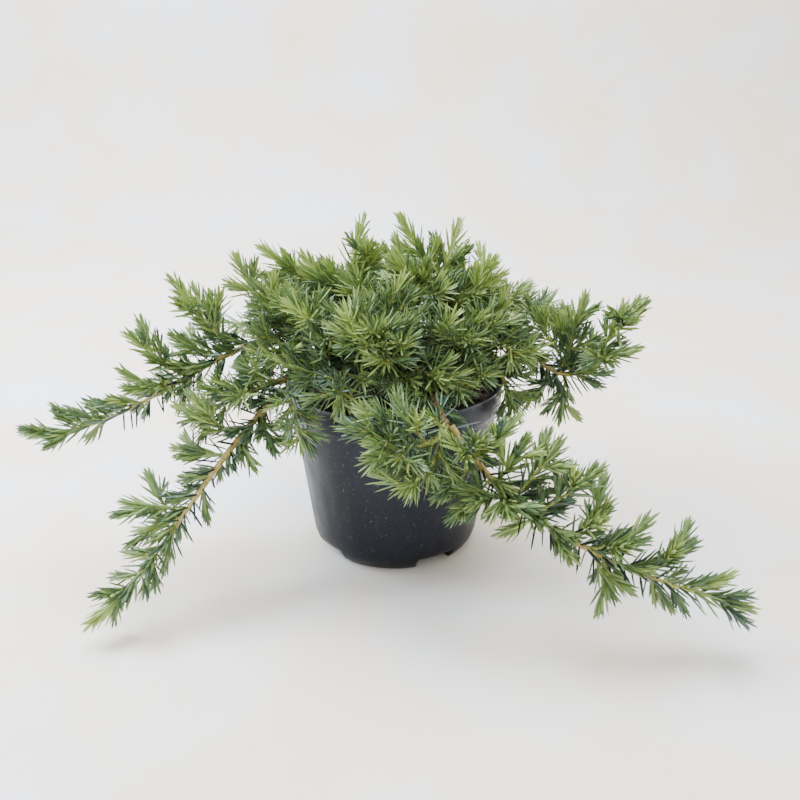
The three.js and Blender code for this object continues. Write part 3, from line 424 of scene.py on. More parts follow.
# Each bough: the height where it leaves the stem and its tip. Each mass: its tip and its longest
# side shoot, and the leaders that stand out, as [place along the axis, roll from the top, angle
# from the axis, length]. The other values replace those of PLAIN_LIMB.
PLAIN_LIMB = {"arch": [5, 4], "sweep": [0, 0], "spacing": 6.5, "end": 9, "bare": 0, "leaders": []}
BOUGHS = [
  {
    "name": "left", "height": 104.4, "tip": [-34, -4, 124], "arch": [9, 6],
    "masses": [
      {
        "name": "long_left", "tip": [-194, -35, 79], "side": 26, "arch": [18, -28],
        "bare": 0.6, "spacing": 20, "end": 18,
        "leaders": [
          [0.14, 0, 66, 46], [0.15, -15, 92, 34], [0.31, -5, 76, 48], [0.33, 10, 98, 32],
          [0.47, -10, 68, 38], [0.49, -60, 50, 37], [0.34, 65, 42, 36], [0.47, -150, 52, 24],
          [0.63, -25, 40, 20], [0.76, 175, 35, 18],
        ],
      },
      { "name": "left_low", "tip": [-74, -30, 103], "side": 30, "spacing": 5.5 },
      { "name": "left_front", "tip": [-44, -44, 146], "side": 30, "arch": [0, -2] },
    ],
  },
  {
    "name": "upper_left", "height": 110, "tip": [-18, 6, 132],
    "masses": [
      { "name": "crest_left", "tip": [-75, 18, 167], "side": 24, "arch": [0, -3], "end": 24 },
      {
        "name": "top_left", "tip": [-15, 5, 185], "side": 24, "arch": [0, 0], "sweep": [8, 6], "end": 26,
        "leaders": [[0.2, -60, 52, 32], [0.3, 70, 44, 28]],
      },
    ],
  },
  {
    "name": "low_left", "height": 94.5, "tip": [-52, -30, 106], "arch": [10, 10],
    "masses": [
      {
        "name": "drooping_left", "tip": [-147, -108, 11], "side": 24, "arch": [4, -20],
        "bare": 0.5, "spacing": 18, "end": 18,
        "leaders": [
          [0.24, 35, 70, 36], [0.32, 62, 58, 30], [0.4, 75, 50, 20], [0.53, 52, 58, 34],
          [0.56, 88, 44, 32], [0.62, 180, 32, 26], [0.15, -115, 62, 30], [0.26, -110, 68, 25],
        ],
      },
      { "name": "left_rim", "tip": [-44, -72, 84], "side": 26, "arch": [8, 6], "spacing": 5.5 },
      { "name": "left_apron", "tip": [-106, -40, 86], "side": 30, "spacing": 5.5 },
    ],
  },
  {
    "name": "front", "height": 107, "tip": [-2, -24, 116],
    "masses": [
      { "name": "front_left", "tip": [-21, -57, 143], "side": 32, "arch": [0, -3], "spacing": 4 },
      { "name": "front_upright", "tip": [-3, -24, 156], "side": 28, "arch": [0, 0], "spacing": 4 },
      { "name": "front_right", "tip": [27, -62, 114], "side": 32, "spacing": 5 },
      { "name": "front_star", "tip": [-4, -68, 127], "side": 32, "spacing": 4 },
    ],
  },
  {
    "name": "front_right", "height": 94.5, "tip": [25, -74, 100], "arch": [14, 14],
    "masses": [
      {
        "name": "long_right", "tip": [169, -112, 24], "side": 22, "arch": [-22, -12], "sweep": [-2, 10],
        "bare": 0.3, "spacing": 20, "end": 18,
        "leaders": [
          [0.2, -10, 98, 27], [0.26, 0, 90, 38], [0.33, 5, 74, 42], [0.45, 0, 78, 28],
          [0.5, 20, 46, 31], [0.67, 0, 58, 28], [0.8, 0, 40, 22], [0.34, 178, 108, 25],
          [0.52, 160, 42, 31], [0.25, 120, 138, 28], [0.69, 170, 58, 16],
          [0.06, 60, 70, 28], [0.12, 140, 84, 32], [0.18, 135, 86, 34], [0.1, 20, 80, 24],
          [0.22, 80, 60, 26], [0.3, 62, 62, 24], [0.4, 92, 55, 24],
        ],
      },
      {
        "name": "front_spray", "tip": [-14, -92, 102], "side": 32, "arch": [-8, -8], "spacing": 4.5,
        "leaders": [[0.25, 35, 30, 46], [0.3, 0, 62, 26], [0.05, 0, 80, 20]],
      },
      { "name": "front_low", "tip": [1, -104, 81], "side": 32, "arch": [-7, -7], "spacing": 4.5 },
    ],
  },
  {
    "name": "inner_left", "height": 100, "tip": [-20, -17, 112],
    "masses": [
      { "name": "inner_left_low", "tip": [-50, -44, 111], "side": 30, "spacing": 4.6 },
      { "name": "inner_left_high", "tip": [-40, -36, 134], "side": 32, "spacing": 4 },
      {
        "name": "inner_left_rim", "tip": [-27, -68, 101], "side": 28, "arch": [8, 6], "spacing": 4.6,
        "leaders": [[0.35, 95, 60, 30], [0.4, -95, 60, 30], [0.62, 85, 48, 24], [0.68, -85, 48, 24]],
      },
    ],
  },
  {
    "name": "inner_right", "height": 100, "tip": [18, -18, 112],
    "masses": [
      { "name": "inner_right_low", "tip": [50, -46, 110], "side": 30, "spacing": 4.6 },
      { "name": "inner_right_high", "tip": [36, -44, 134], "side": 32, "spacing": 4 },
      {
        "name": "inner_right_rim", "tip": [14, -62, 103], "side": 28, "arch": [8, 6], "spacing": 4.6,
        "leaders": [[0.35, 95, 60, 30], [0.4, -95, 60, 30]],
      },
    ],
  },
  {
    "name": "crown", "height": 116, "tip": [0, -2, 131], "arch": [0, 0],
    "masses": [
      { "name": "crown_left", "tip": [-30, -16, 152], "side": 30, "arch": [0, 0], "spacing": 5 },
      { "name": "crown_front", "tip": [14, -22, 153], "side": 30, "arch": [0, 0], "spacing": 4 },
      { "name": "crown_back", "tip": [2, 34, 150], "side": 28, "arch": [0, 0] },
    ],
  },
  {
    "name": "right", "height": 106, "tip": [40, -5, 120], "arch": [6, 6],
    "masses": [
      {
        "name": "right_arch", "tip": [119, -15, 145], "side": 24, "arch": [24, -88],
        "bare": 0.2, "spacing": 16, "end": 18,
        "leaders": [
          [0.56, 0, 112, 46], [0.5, 8, 92, 44], [0.62, -10, 84, 36], [0.72, 0, 80, 28],
          [0.84, 0, 55, 28], [0.88, 25, 40, 22], [0.5, 155, 124, 38], [0.53, 172, 92, 34],
        ],
      },
      {
        "name": "right_front", "tip": [70, -40, 118], "side": 30, "spacing": 5,
        "leaders": [[0.5, 80, 95, 42]],
      },
      { "name": "right_low", "tip": [66, -34, 84], "side": 26, "arch": [8, 6], "spacing": 5.5 },
    ],
  },
  {
    "name": "upper_right", "height": 110, "tip": [18, 4, 134],
    "masses": [
      { "name": "top_centre", "tip": [1, 22, 184], "side": 24, "arch": [0, 0], "sweep": [8, 4], "end": 26 },
      { "name": "top_right", "tip": [36, 22, 181], "side": 22, "arch": [0, 0], "end": 26 },
      {
        "name": "crest_right", "tip": [58, -12, 160], "side": 28, "arch": [0, -4],
        "spacing": 5, "end": 20,
      },
      { "name": "crest_centre", "tip": [-4, -20, 171], "side": 24, "arch": [0, 0], "end": 20 },
    ],
  },
  {
    "name": "back_right", "height": 95, "tip": [28, 30, 118], "arch": [6, 6],
    "masses": [
      { "name": "back_right_arch", "tip": [112, 84, 108], "side": 34, "arch": [10, 4], "spacing": 14 },
      { "name": "back_right_crest", "tip": [62, 46, 138], "side": 28 },
      { "name": "back_right_inner", "tip": [34, 68, 112], "side": 30, "spacing": 5.5 },
      { "name": "back_right_low", "tip": [54, 118, 76], "side": 30, "arch": [22, 12], "spacing": 14 },
    ],
  },
  {
    "name": "back", "height": 104, "tip": [-4, 30, 127],
    "masses": [
      { "name": "back_crest", "tip": [-10, 84, 139], "side": 30 },
      { "name": "back_low", "tip": [-14, 78, 104], "side": 30, "spacing": 5.5 },
      { "name": "back_arch", "tip": [0, 136, 92], "side": 32, "arch": [16, 10], "spacing": 14 },
    ],
  },
  {
    "name": "back_left", "height": 97, "tip": [-28, 26, 118], "arch": [6, 6],
    "masses": [
      { "name": "back_left_arch", "tip": [-104, 80, 98], "side": 34, "arch": [14, 8], "spacing": 14 },
      { "name": "back_left_low", "tip": [-62, 116, 74], "side": 30, "arch": [24, 12], "spacing": 14 },
      { "name": "back_left_crest", "tip": [-62, 48, 141], "side": 28 },
      { "name": "back_left_inner", "tip": [-66, 28, 108], "side": 30, "spacing": 5.5 },
    ],
  },
]


def unit(vectors):
    vectors = np.asarray(vectors, float)
    return vectors / np.linalg.norm(vectors, axis=-1, keepdims=True)


class Limb:
    """A Bezier curve that is read by its length, as the limbs of the solids are."""

    def __init__(self, *controls):
        self.controls = np.array(controls, float)
        self.steps = np.linspace(0, 1, 201)
        points = self.at_parameter(self.steps)
        self.lengths = np.concatenate([[0], np.cumsum(np.linalg.norm(np.diff(points, axis=0), axis=1))])
        self.length = self.lengths[-1]

    def at_parameter(self, part):
        rows = np.repeat(self.controls[:, None, :], len(part), axis=1)
        share = np.asarray(part)[:, None]
        while len(rows) > 1:
            rows = rows[:-1] * (1 - share) + rows[1:] * share
        return rows[0]

    def parameters(self, places):
        return np.interp(np.clip(places, 0, 1) * self.length, self.lengths, self.steps)

    def points(self, places):
        return self.at_parameter(self.parameters(np.atleast_1d(places)))

    def tangents(self, places):
        part = self.parameters(np.atleast_1d(places))
        ahead = self.at_parameter(np.minimum(part + 1e-3, 1))
        return unit(ahead - self.at_parameter(np.maximum(part - 1e-3, 0)))

    def frames(self, places):
        """Centres, tangents and two directions across at places, which keep from spinning."""
        centres, tangents = self.points(places), self.tangents(places)
        across = np.empty_like(centres)
        last = directions_round(tangents[0])[0]
        for index, tangent in enumerate(tangents):
            last = unit(last - tangent * (tangent @ last))
            across[index] = last
        return centres, tangents, across, np.cross(tangents, across)


def directions_round(tangent):
    reference = UP if abs(tangent[2]) < 0.85 else FRONT
    upper = unit(reference - tangent * (tangent @ reference))
    return upper, np.cross(tangent, upper)


def limb_between(root, heading, tip, plan):
    """A limb that its arch lifts and its sweep moves to the right, as in the solids."""
    along = tip - root
    right = unit(np.cross(along, UP))
    first = root + (along + heading * np.linalg.norm(along)) / 6
    second = root + along * 2 / 3
    first = first + UP * plan["arch"][0] + right * plan["sweep"][0]
    second = second + UP * plan["arch"][1] + right * plan["sweep"][1]
    return Limb(root, first, second, tip)


def bark_noise(along, turned, stretch, grains_round, grain, seed):
    """Noise over the skin of a limb, stretched along it."""
    places = [along / stretch, grains_round * np.cos(turned), grains_round * np.sin(turned)]
    return value_noise(np.stack(places, axis=-1), grain, seed)


def bark_tube(limb, root_radius, tip_radius, flare, seed):
    """Rings of corners along a limb, with strips and knots of bark standing out."""
    count = int(limb.length / BARK_STEP)
    places = np.linspace(0, 1, count)
    centres, _, across, other = limb.frames(places)
    turn = np.linspace(0, 2 * math.pi, BARK_SIDES, endpoint=False)
    along, turned = np.meshgrid(places * limb.length, turn, indexing="ij")
    strips = bark_noise(along, turned, STRIP_STRETCH, STRIPS_ROUND, STRIP_GRAIN, seed)
    knots = bark_noise(along, turned, KNOT_STRETCH, 1, KNOT_GRAIN, seed + 1)
    part = along / limb.length
    flared = flare * np.maximum(0, 1 - part / FLARE_SHARE)
    radius = root_radius + (tip_radius - root_radius) * part + flared
    radius = radius + BARK_RELIEF * (strips * STRIP_SHARE + knots * KNOT_SHARE) - BARK_SUNK
    offset = across[:, None] * np.cos(turned)[..., None] + other[:, None] * np.sin(turned)[..., None]
    return centres[:, None] + offset * radius[..., None]


# Juniper bark: matt, reddish brown between grey strips that peel lengthwise
bark_material, tree, shader, place = new_material(
    "juniper_bark", {"Roughness": 0.85, "Specular IOR Level": 0.3})
colour = patched(tree, linear("#46331f"), "#7d6040", place, 2.6, 0.38, 0.64, 4.0)
colour = patched(tree, colour, "#94826a", place, 1.1, 0.58, 0.7)
tree.links.new(colour, shader.inputs["Base Color"])
tree.links.new(raised_grain(tree, place, 0.5, 4.0, 0.6, 0.25), shader.inputs["Normal"])

stem_root = np.array([0, 0, MIX_TOP + SEAT])
stem_tip = np.array([*STEM_LEAN, STEM_TOP])
stem = Limb(stem_root, stem_root + UP * STEM_STIFF_LENGTH, stem_tip - UP * STEM_STIFF_LENGTH, stem_tip)


def bough_limb(bough):
    part = (bough["height"] - stem_root[2]) / (STEM_TOP - stem_root[2])
    root = stem.points(part)[0]
    tip = np.array(bough["tip"], float)
    heading = UP if part == 1 else unit((tip - root) * [1, 1, 0])
    return limb_between(root, heading, tip, {**PLAIN_LIMB, **bough})


boughs = [{**bough, "limb": bough_limb(bough)} for bough in BOUGHS]
sunk_stem = Limb(stem_root - UP * STEM_SUNK, *stem.controls[1:])
tubes = [bark_tube(sunk_stem, STEM_RADIUS, STEM_TOP_RADIUS, STEM_FLARE_RADIUS - STEM_RADIUS, 20)]
for index, bough in enumerate(boughs):
    seed = 30 + 2 * index
    tubes.append(bark_tube(bough["limb"], BOUGH_ROOT_RADIUS, BOUGH_TIP_RADIUS, BOUGH_COLLAR, seed))
vertices, faces, first = [], [], 0
for rings in tubes:
    faces += [group + first for group in closed_faces(len(rings), BARK_SIDES)]
    vertices.append(rings.reshape(-1, 3))
    first += len(vertices[-1])
bark = mesh_piece("stem_and_boughs", np.concatenate(vertices), faces, bark_material, smooth=True)
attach(bark, "root")
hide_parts("main_stem", *[f"bough_{bough['name']}" for bough in boughs])


# Shoots
# Long leafy axes grow on from the ends of the boughs. Side shoots leave them left and right in
# turn, fork again into smaller ones, and bend up at their tips. Old wood is brown, new is green.

AXIS_RADIUS = 1.35
LEAFY_AXIS_RADIUS = 1.9
SHOOT_RADIUS = 0.8
SMALL_RADIUS = 0.62
TIP_RADIUS = 0.55
FIRST_SHOOT = (7, 12)
SHOOT_ROLL = (25, 120)
SHOOT_ANGLE = (38, 56)
SHOOT_SHARE = (0.75, 1.15)
SHOOT_TAPER = 0.55
SPACING_SHARE = (0.75, 1.25)
LEADER_ROOM = 5
STEM_CLEARANCE = 0.5
LEAST_SHOOT = 17
SHORTENED = (1, 0.75, 0.55)
FORKING_LENGTH = 25
FORK_PLACES = (0.3, 0.52)
FORK_ROLL = (40, 110)
FORK_ANGLE = (40, 52)
FORK_REACH = 0.3
FIRST_FINE = (5, 9)
FINE_END = 15
BOUGH_FINE_END = 2
FINE_SPACING = 8
FINE_REACH = (11, 17)
AXIS_FINE_SPACING = 4
AXIS_FINE_REACH = (13, 25)
SEEDS_A_MASS = 100
FORK_SEED = 50
FINE_SEED = 7000
AXIS_FINE_SEED = 9000
BOUGH_FINE_SEED = 9500
UPTURN = 0.14
STIFF_PART = 0.55
WOOD_LENGTH = 84
RIPE_LENGTH = 48
STEM_STEP = 4
LEAST_STRETCH = 1
TWIG_SIDES = 6
SEED_FACTOR = 7919
DRAW_FACTOR = 48271
DRAW_MODULUS = 2147483647

# A stem ends this far before the tip of its shoot, which the needles of its bud form
TIP_REACH = 6.5


def seeded(seed):
    """Draws from 0 to 1 by the solids' own rule."""
    state = SEED_FACTOR * (seed + 1)
    while True:
        state = state * DRAW_FACTOR % DRAW_MODULUS
        yield state / DRAW_MODULUS


def drawer(seed):
    """A function that gives the next draw, past the first two, which hardly differ between seeds."""
    draws = seeded(seed)
    next(draws)
    next(draws)
    return lambda: next(draws)


def between(limits, draw):
    return limits[0] + (limits[1] - limits[0]) * draw()


def side_limb(parent, place, roll, angle, length):
    """A side shoot that leaves its parent at a roll and an angle and then turns up."""
    root, tangent = parent.points(place)[0], parent.tangents(place)[0]
    upper, right = directions_round(tangent)
    roll, angle = math.radians(roll), math.radians(angle)
    outward = upper * math.cos(roll) + right * math.sin(roll)
    heading = tangent * math.cos(angle) + outward * math.sin(angle)
    return Limb(root, root + heading * STIFF_PART * length, root + heading * length + UP * UPTURN * length)


def side_plans(limb, plan, seed):
    """The leaders first, then a side shoot at each spacing, left and right in turn."""
    plans = [tuple(leader) for leader in plan["leaders"]]
    draw = drawer(seed)
    distance = between(FIRST_SHOOT, draw)
    hand = -1 if draw() < 0.5 else 1
    while distance < limb.length - plan["end"]:
        place = distance / limb.length
        roll = hand * between(SHOOT_ROLL, draw)
        angle = between(SHOOT_ANGLE, draw)
        share = between(SHOOT_SHARE, draw)
        reach = max(LEAST_SHOOT, plan["side"] * (1 - SHOOT_TAPER * place) * share)
        if all(abs(leader[0] - place) * limb.length >= LEADER_ROOM for leader in plan["leaders"]):
            plans.append((place, roll, angle, reach))
        distance += plan["spacing"] * between(SPACING_SHARE, draw)
        hand = -hand
    return plans


def fork_plans(limb, seed):
    """Small shoots on a side shoot that is long enough to fork."""
    if limb.length < FORKING_LENGTH:
        return []
    draw = drawer(seed)
    hand = -1 if draw() < 0.5 else 1
    plans = []
    for place in FORK_PLACES:
        roll = hand * between(FORK_ROLL, draw)
        reach = LEAST_SHOOT + FORK_REACH * limb.length * (1 - place) * draw()
        plans.append((place, roll, between(FORK_ANGLE, draw), reach))
        hand = -hand
    return plans


def fine_plans(limb, spacing, reach, end, seed):
    """The finest shoots, which fill in between the others."""
    draw = drawer(seed)
    plans = []
    distance = between(FIRST_FINE, draw)
    while distance < limb.length - end:
        roll = between((0, 360), draw)
        plans.append((distance / limb.length, roll, between(FORK_ANGLE, draw), between(reach, draw)))
        distance += spacing * between(SPACING_SHARE, draw)
    return plans


def fork_seats(bough):
    """Seats of the masses on a bough's end, evenly round it and in the order of their aims."""
    end, tangent = bough["limb"].points(1)[0], bough["limb"].tangents(1)[0]
    upper, right = directions_round(tangent)
    aims = [np.array(mass["tip"], float) - end for mass in bough["masses"]]
    aims = [math.atan2(aim @ right, aim @ upper) for aim in aims]
    order = sorted(range(len(aims)), key=lambda index: aims[index])
    share = 2 * math.pi / len(aims)
    start = sum(aims[index] - rank * share for rank, index in enumerate(order)) / len(aims)
    offset = (AXIS_RADIUS + SEAT) / math.sin(math.pi / len(aims)) if len(aims) > 1 else 0
    turns = [start + share * order.index(index) for index in range(len(aims))]
    return [end + offset * (upper * math.cos(turn) + right * math.sin(turn)) for turn in turns]


def pot_radius_at(height):
    outline = np.array([(FOOT_RADIUS, 0), *FOOT_EDGE, (WALL_FOOT_RADIUS, WALL_FOOT_HEIGHT),
                        (WALL_TOP_RADIUS, LEDGE_HEIGHT), (BAND_FOOT_RADIUS, LEDGE_HEIGHT + 0.1),
                        (RIM_RADIUS, POT_HEIGHT)])
    return np.interp(height, outline[:, 1], outline[:, 0])


def clear_of_pot(points, margin):
    """Whether points keep a margin to the floor, the pot's wall and the mix."""
    points = np.atleast_2d(points)
    radius, height = np.hypot(points[:, 0], points[:, 1]), points[:, 2]
    inside = (radius < WALL_TOP_RADIUS - WALL - margin) & (height > MIX_TOP + margin)
    outside = radius > pot_radius_at(np.maximum(height, 0)) + margin
    return (height > margin) & (inside | outside | (height > POT_HEIGHT + margin))


shoots = []


def add_shoot(limb, mass, bough, radius, bare, order):
    """Keeps a shoot if its stem is clear of the pot, and says whether it is."""
    along = limb.points(np.linspace(0.1, 1, 8))
    if order and not clear_of_pot(along, radius + STEM_CLEARANCE).all():
        return False
    shoots.append({"limb": limb, "mass": mass, "bough": bough, "radius": radius,
                   "bare": bare, "order": order})
    return True


def grow_sides(parent, plans, mass, bough, radius, order):
    """Grows the planned shoots on a limb, shortened or left out where they meet the pot."""
    grown = []
    for place, roll, angle, length in plans:
        for share in SHORTENED:
            limb = side_limb(parent, place, roll, angle, length * share)
            if add_shoot(limb, mass, bough, radius, 0, order):
                grown.append(limb)
                break
    return grown


def grow_mass(axis, plan, bough, seed):
    """Grows the shoots of one mass: sides on its axis, small ones on the sides, and the finest on all."""
    mass = plan["name"]
    add_shoot(axis, mass, bough, LEAFY_AXIS_RADIUS, plan["bare"], 0)
    axis_end = max(FINE_END, plan["end"])
    fine = fine_plans(axis, AXIS_FINE_SPACING, AXIS_FINE_REACH, axis_end, seed + AXIS_FINE_SEED)
    grow_sides(axis, fine, mass, bough, SMALL_RADIUS, 3)
    sides = grow_sides(axis, side_plans(axis, plan, seed), mass, bough, SHOOT_RADIUS, 1)
    for index, side in enumerate(sides):
        forks = fork_plans(side, seed + FORK_SEED + index)
        small = grow_sides(side, forks, mass, bough, SMALL_RADIUS, 2)
        for number, limb in enumerate([side, *small]):
            fine_seed = seed + FINE_SEED + 20 * index + number
            fine = fine_plans(limb, FINE_SPACING, FINE_REACH, FINE_END, fine_seed)
            grow_sides(limb, fine, mass, bough, SMALL_RADIUS, 3)


mass_seed = 0
for bough in boughs:
    fine = fine_plans(bough["limb"], AXIS_FINE_SPACING, AXIS_FINE_REACH, BOUGH_FINE_END,
                      mass_seed + BOUGH_FINE_SEED)
    grow_sides(bough["limb"], fine, bough["masses"][0]["name"], bough["name"], SMALL_RADIUS, 3)
    for seat, row in zip(fork_seats(bough), bough["masses"]):
        plan = {**PLAIN_LIMB, **row}
        axis = limb_between(seat, bough["limb"].tangents(1)[0], np.array(plan["tip"], float), plan)
        grow_mass(axis, plan, bough["name"], mass_seed)
        mass_seed += SEEDS_A_MASS


def stem_radius(shoot, distance):
    return shoot["radius"] + (TIP_RADIUS - shoot["radius"]) * distance / shoot["limb"].length


def twig_lines(low, high):
    """Corners, edges and radii of the stretches of stem that lie from low to high of their tip."""
    corners, edges, radii, first = [], [], [], 0
    for shoot in shoots:
        length = shoot["limb"].length
        start, end = max(0, length - high), length - max(low, TIP_REACH)
        if end - start < LEAST_STRETCH:
            continue
        count = max(2, int((end - start) / STEM_STEP) + 1)
        distances = np.linspace(start, end, count)
        corners.append(shoot["limb"].points(distances / length))
        radii.append(stem_radius(shoot, distances))
        edges.append(np.stack([np.arange(count - 1), np.arange(1, count)], axis=1) + first)
        first += count
    return np.concatenate(corners) * MM, np.concatenate(edges), np.concatenate(radii) * MM


def twig_material(name, dark, light, roughness):
    """A twig's skin, patched with faint scales of its lighter colour."""
    material, tree, shader, place = new_material(
        name, {"Roughness": roughness, "Specular IOR Level": 0.35})
    colour = patched(tree, linear(dark), light, place, 2.2, 0.4, 0.62)
    tree.links.new(colour, shader.inputs["Base Color"])
    return material


twig_tree, given = new_tree("twigs_along_lines",
                            [("Sides", "NodeSocketInt"), ("Skin", "NodeSocketMaterial")])
line = add_node(twig_tree, "GeometryNodeMeshToCurve", {"Mesh": given["Geometry"]})
thickness = add_node(twig_tree, "GeometryNodeInputNamedAttribute", {"Name": "thickness"}, data_type="FLOAT")
section = add_node(twig_tree, "GeometryNodeCurvePrimitiveCircle",
                   {"Resolution": given["Sides"], "Radius": 1.0})
tube = add_node(twig_tree, "GeometryNodeCurveToMesh",
                {"Curve": line.outputs["Curve"], "Profile Curve": section.outputs["Curve"],
                 "Scale": thickness.outputs["Attribute"], "Fill Caps": True})
end_tree(twig_tree, tube.outputs["Mesh"], given["Skin"])

# Twigs are smooth and yellow green near the tip, tan green behind it, and brown and dry on old
# wood. Each row: the piece, from where to where it lies behind the shoot's tip, then its skin.
TWIG_AGES = [
    ("brown_twigs", WOOD_LENGTH, 1000, "old_twig_bark", "#98874f", "#bbab70", 0.8),
    ("ripening_twigs", RIPE_LENGTH, WOOD_LENGTH, "ripening_twig", "#9a8f52", "#bcae70", 0.65),
    ("green_twigs", 0, RIPE_LENGTH, "green_twig", "#93a04f", "#bac474", 0.5),
]
for name, low, high, skin, dark, light, roughness in TWIG_AGES:
    corners, edges, radii = twig_lines(low, high)
    mesh = bpy.data.meshes.new(f"{name}_lines")
    mesh.vertices.add(len(corners))
    mesh.vertices.foreach_set("co", corners.astype(np.float32).ravel())
    mesh.edges.add(len(edges))
    mesh.edges.foreach_set("vertices", edges.astype(np.int32).ravel())
    mesh.attributes.new("thickness", "FLOAT", "POINT").data.foreach_set("value", radii.astype(np.float32))
    values = {"Sides": TWIG_SIDES, "Skin": twig_material(skin, dark, light, roughness)}
    twigs = grown_piece(new_object(f"{name}_lines", mesh), twig_tree, values, name)
    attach(twigs, "root")


# Needles
# Stiff sharp needles stand round the shoots in whorls of three. The upper side is hollowed, with a
# pale bluish band of wax in the hollow; the lower side is keeled. Young ones lie close and bright.

NEEDLE_LENGTH = 13.5
LENGTH_SHARE = (0.85, 1.1)
BUD_SHORTENING = 0.4
FINE_NEEDLE_SHARE = 0.86
NEEDLE_WIDTH = 1.25
WIDTH_SHARE = (0.85, 1.1)
SHORT_NEEDLE = 9
NEEDLE_DEPTH = 0.55
NEEDLE_BEND = 0.05
BEND_SHARE = (-0.4, 1.4)
NEEDLE_SEAT = 0.6
NEEDLE_CLEARANCE = 0.4
WHORL_GAP = 3.8
TIP_WHORL_GAP = 2.1
WHORL_TURN_SPREAD = 7
ROLL_SPREAD = 0.2
BARE_ROOT = 2
BARE_SHARE = 0.6
OLD_LEAN = 68
YOUNG_LEAN = 44
BUD_LENGTH = 11
BUD_LEAN = 12
LEAN_SPREAD = 20
LEAN_DISTANCE = 11
LEAFY_END = 60
DEAD_SHARE = 0.012
DEAD_DISTANCE = 25

# The long arms and the tops, whose rows set their own end, grow strongly: their needles are
# broader and lie closer to the stem for longer
STRONG_WIDTH_SHARE = 1.35
STRONG_LEAN_SHARE = 0.66
STRONG_LEAN_DISTANCE = 26
STRONG_BUD_LENGTH = 15
STRONG_MASSES = {mass["name"] for bough in boughs for mass in bough["masses"] if "end" in mass}

# One needle: its rings as place along it and share of its width, and its section from edge to edge
# over the hollow and back under the keel, in half widths
RINGS = [(0.0, 0.6), (0.3, 1.0), (0.79, 0.74)]
SECTION = [(-1.0, 0.3), (-0.48, 0.02), (0.48, 0.02), (1.0, 0.3), (0.0, -0.75)]
BAND_SIDE = 1

# Needle tones from the bright tips to the shaded old wood, and a few dead ones: the green, and the wax band
# of the same tone. A needle's tone stands both for its years and for painted shade, so the darker greens
# and bands are also painted shaded copies. The green is waxy and satin, and the band is matt.
TONES = [
    ("fresh", "#95ac60", "#afc377"),
    ("tip", "#738d53", "#94a96a"),
    ("young", "#557048", "#87a07f"),
    ("full_grown", "#3f5843", "#778f85"),
    ("mature", "#2f463b", "#66807b"),
    ("old", "#233731", "#556d6d"),
    ("shaded", "#192926", "#425556"),
    ("dead", "#7d5a34", "#93724a"),
]
LAST_LIVE_TONE = 6
DEAD_TONE = 7
NEEDLE_ROUGHNESS = 0.42
BAND_ROUGHNESS = 0.6

# A needle is one tone older for each TONE_LENGTH behind the tip of its stem. Painted shade is added to
# that: it darkens a shoot by its order (the finest shoots darkest and the leading axes lighter), low down
# (so the raised tops stay lighter, as if lit from above), inside the crown and under the crown near the
# pot; the tone also varies by chance.
TONE_LENGTH = 10
TONE_SPREAD = 0.35
ORDER_SHADE = (-0.7, 0, 0, 1)
LOW_SHADE = 0.85
RAISED_HEIGHTS = (120, 165)
INNER_SHADE = 2
CROWN_MIDDLE = (0, 0, 118)
CROWN_REACH = 75
CROWN_FLATNESS = 1.4
UNDER_SHADE = 0.7
UNDER_HEIGHTS = (95, 125)
UNDER_RADII = (80, 115)
SHADE_SPREAD = 0.4


def needle_material(name, code, roughness):
    """A waxy leaf skin of one colour, with a faint grain that breaks up its gloss."""
    material, tree, shader, place = new_material(
        name, {"Base Color": linear(code), "Specular IOR Level": 0.45, "IOR": 1.45})
    grain = noise_share(tree, place, 0.8, 0.3, 0.7, 2.0)
    gloss = add_node(tree, "ShaderNodeMapRange",
                     {"Value": grain, "To Min": roughness - 0.07, "To Max": roughness + 0.07})
    tree.links.new(gloss.outputs["Result"], shader.inputs["Roughness"])
    return material


# One needle and one wax band material for each tone; the darker tones carry painted shade as well as years
needle_materials = []
for label, green, band in TONES:
    needle_materials += [needle_material(f"{label}_needle", green, NEEDLE_ROUGHNESS),
                         needle_material(f"{label}_wax_band", band, BAND_ROUGHNESS)]


def template_faces():
    """Faces of one needle as triangles of corner numbers, and which of them are the wax band."""
    sides, rows = len(SECTION), len(RINGS)
    faces, band = [], []
    for row in range(rows - 1):
        for side in range(sides):
            after = (side + 1) % sides
            a, b = row * sides + side, row * sides + after
            c, d = a + sides, b + sides
            faces += [(a, b, d), (a, d, c)]
            band += [side == BAND_SIDE] * 2
    tip, last = rows * sides, (rows - 1) * sides
    for side in range(sides):
        faces.append((last + side, last + (side + 1) % sides, tip))
        band.append(side == BAND_SIDE)
    faces += [(0, 2, 1), (0, 3, 2), (0, 4, 3)]
    band += [False] * 3
    return np.array(faces), np.array(band)


def whorl_distances(length, bud_length):
    """Places of the whorls: evenly along the stem and closer in the bud, whose needles end the shoot."""
    leafy = length - TIP_REACH - bud_length
    even = np.arange(BARE_ROOT, max(leafy, BARE_ROOT + 0.1), WHORL_GAP)
    tight = np.arange(even[-1] + TIP_WHORL_GAP * 1.4, length - TIP_REACH, TIP_WHORL_GAP)
    return np.concatenate([even, tight])


def shade_of(shoot, random):
    """How many tones of painted shade a shoot's needles get beyond their years: by order, height, depth in
    the crown and nearness to the pot, with a random part.
    """
    middle = shoot["limb"].points(0.6)[0]
    depth = 1 - np.linalg.norm((middle - CROWN_MIDDLE) * [1, 1, CROWN_FLATNESS]) / CROWN_REACH
    raised = smooth_step(middle[2], *RAISED_HEIGHTS)
    near_pot = 1 - smooth_step(np.hypot(*middle[:2]), *UNDER_RADII)
    under = (1 - smooth_step(middle[2], *UNDER_HEIGHTS)) * near_pot
    return (ORDER_SHADE[shoot["order"]] + LOW_SHADE * (1 - raised) + INNER_SHADE * max(0, depth)
            + UNDER_SHADE * under + random.normal(0, SHADE_SPREAD))


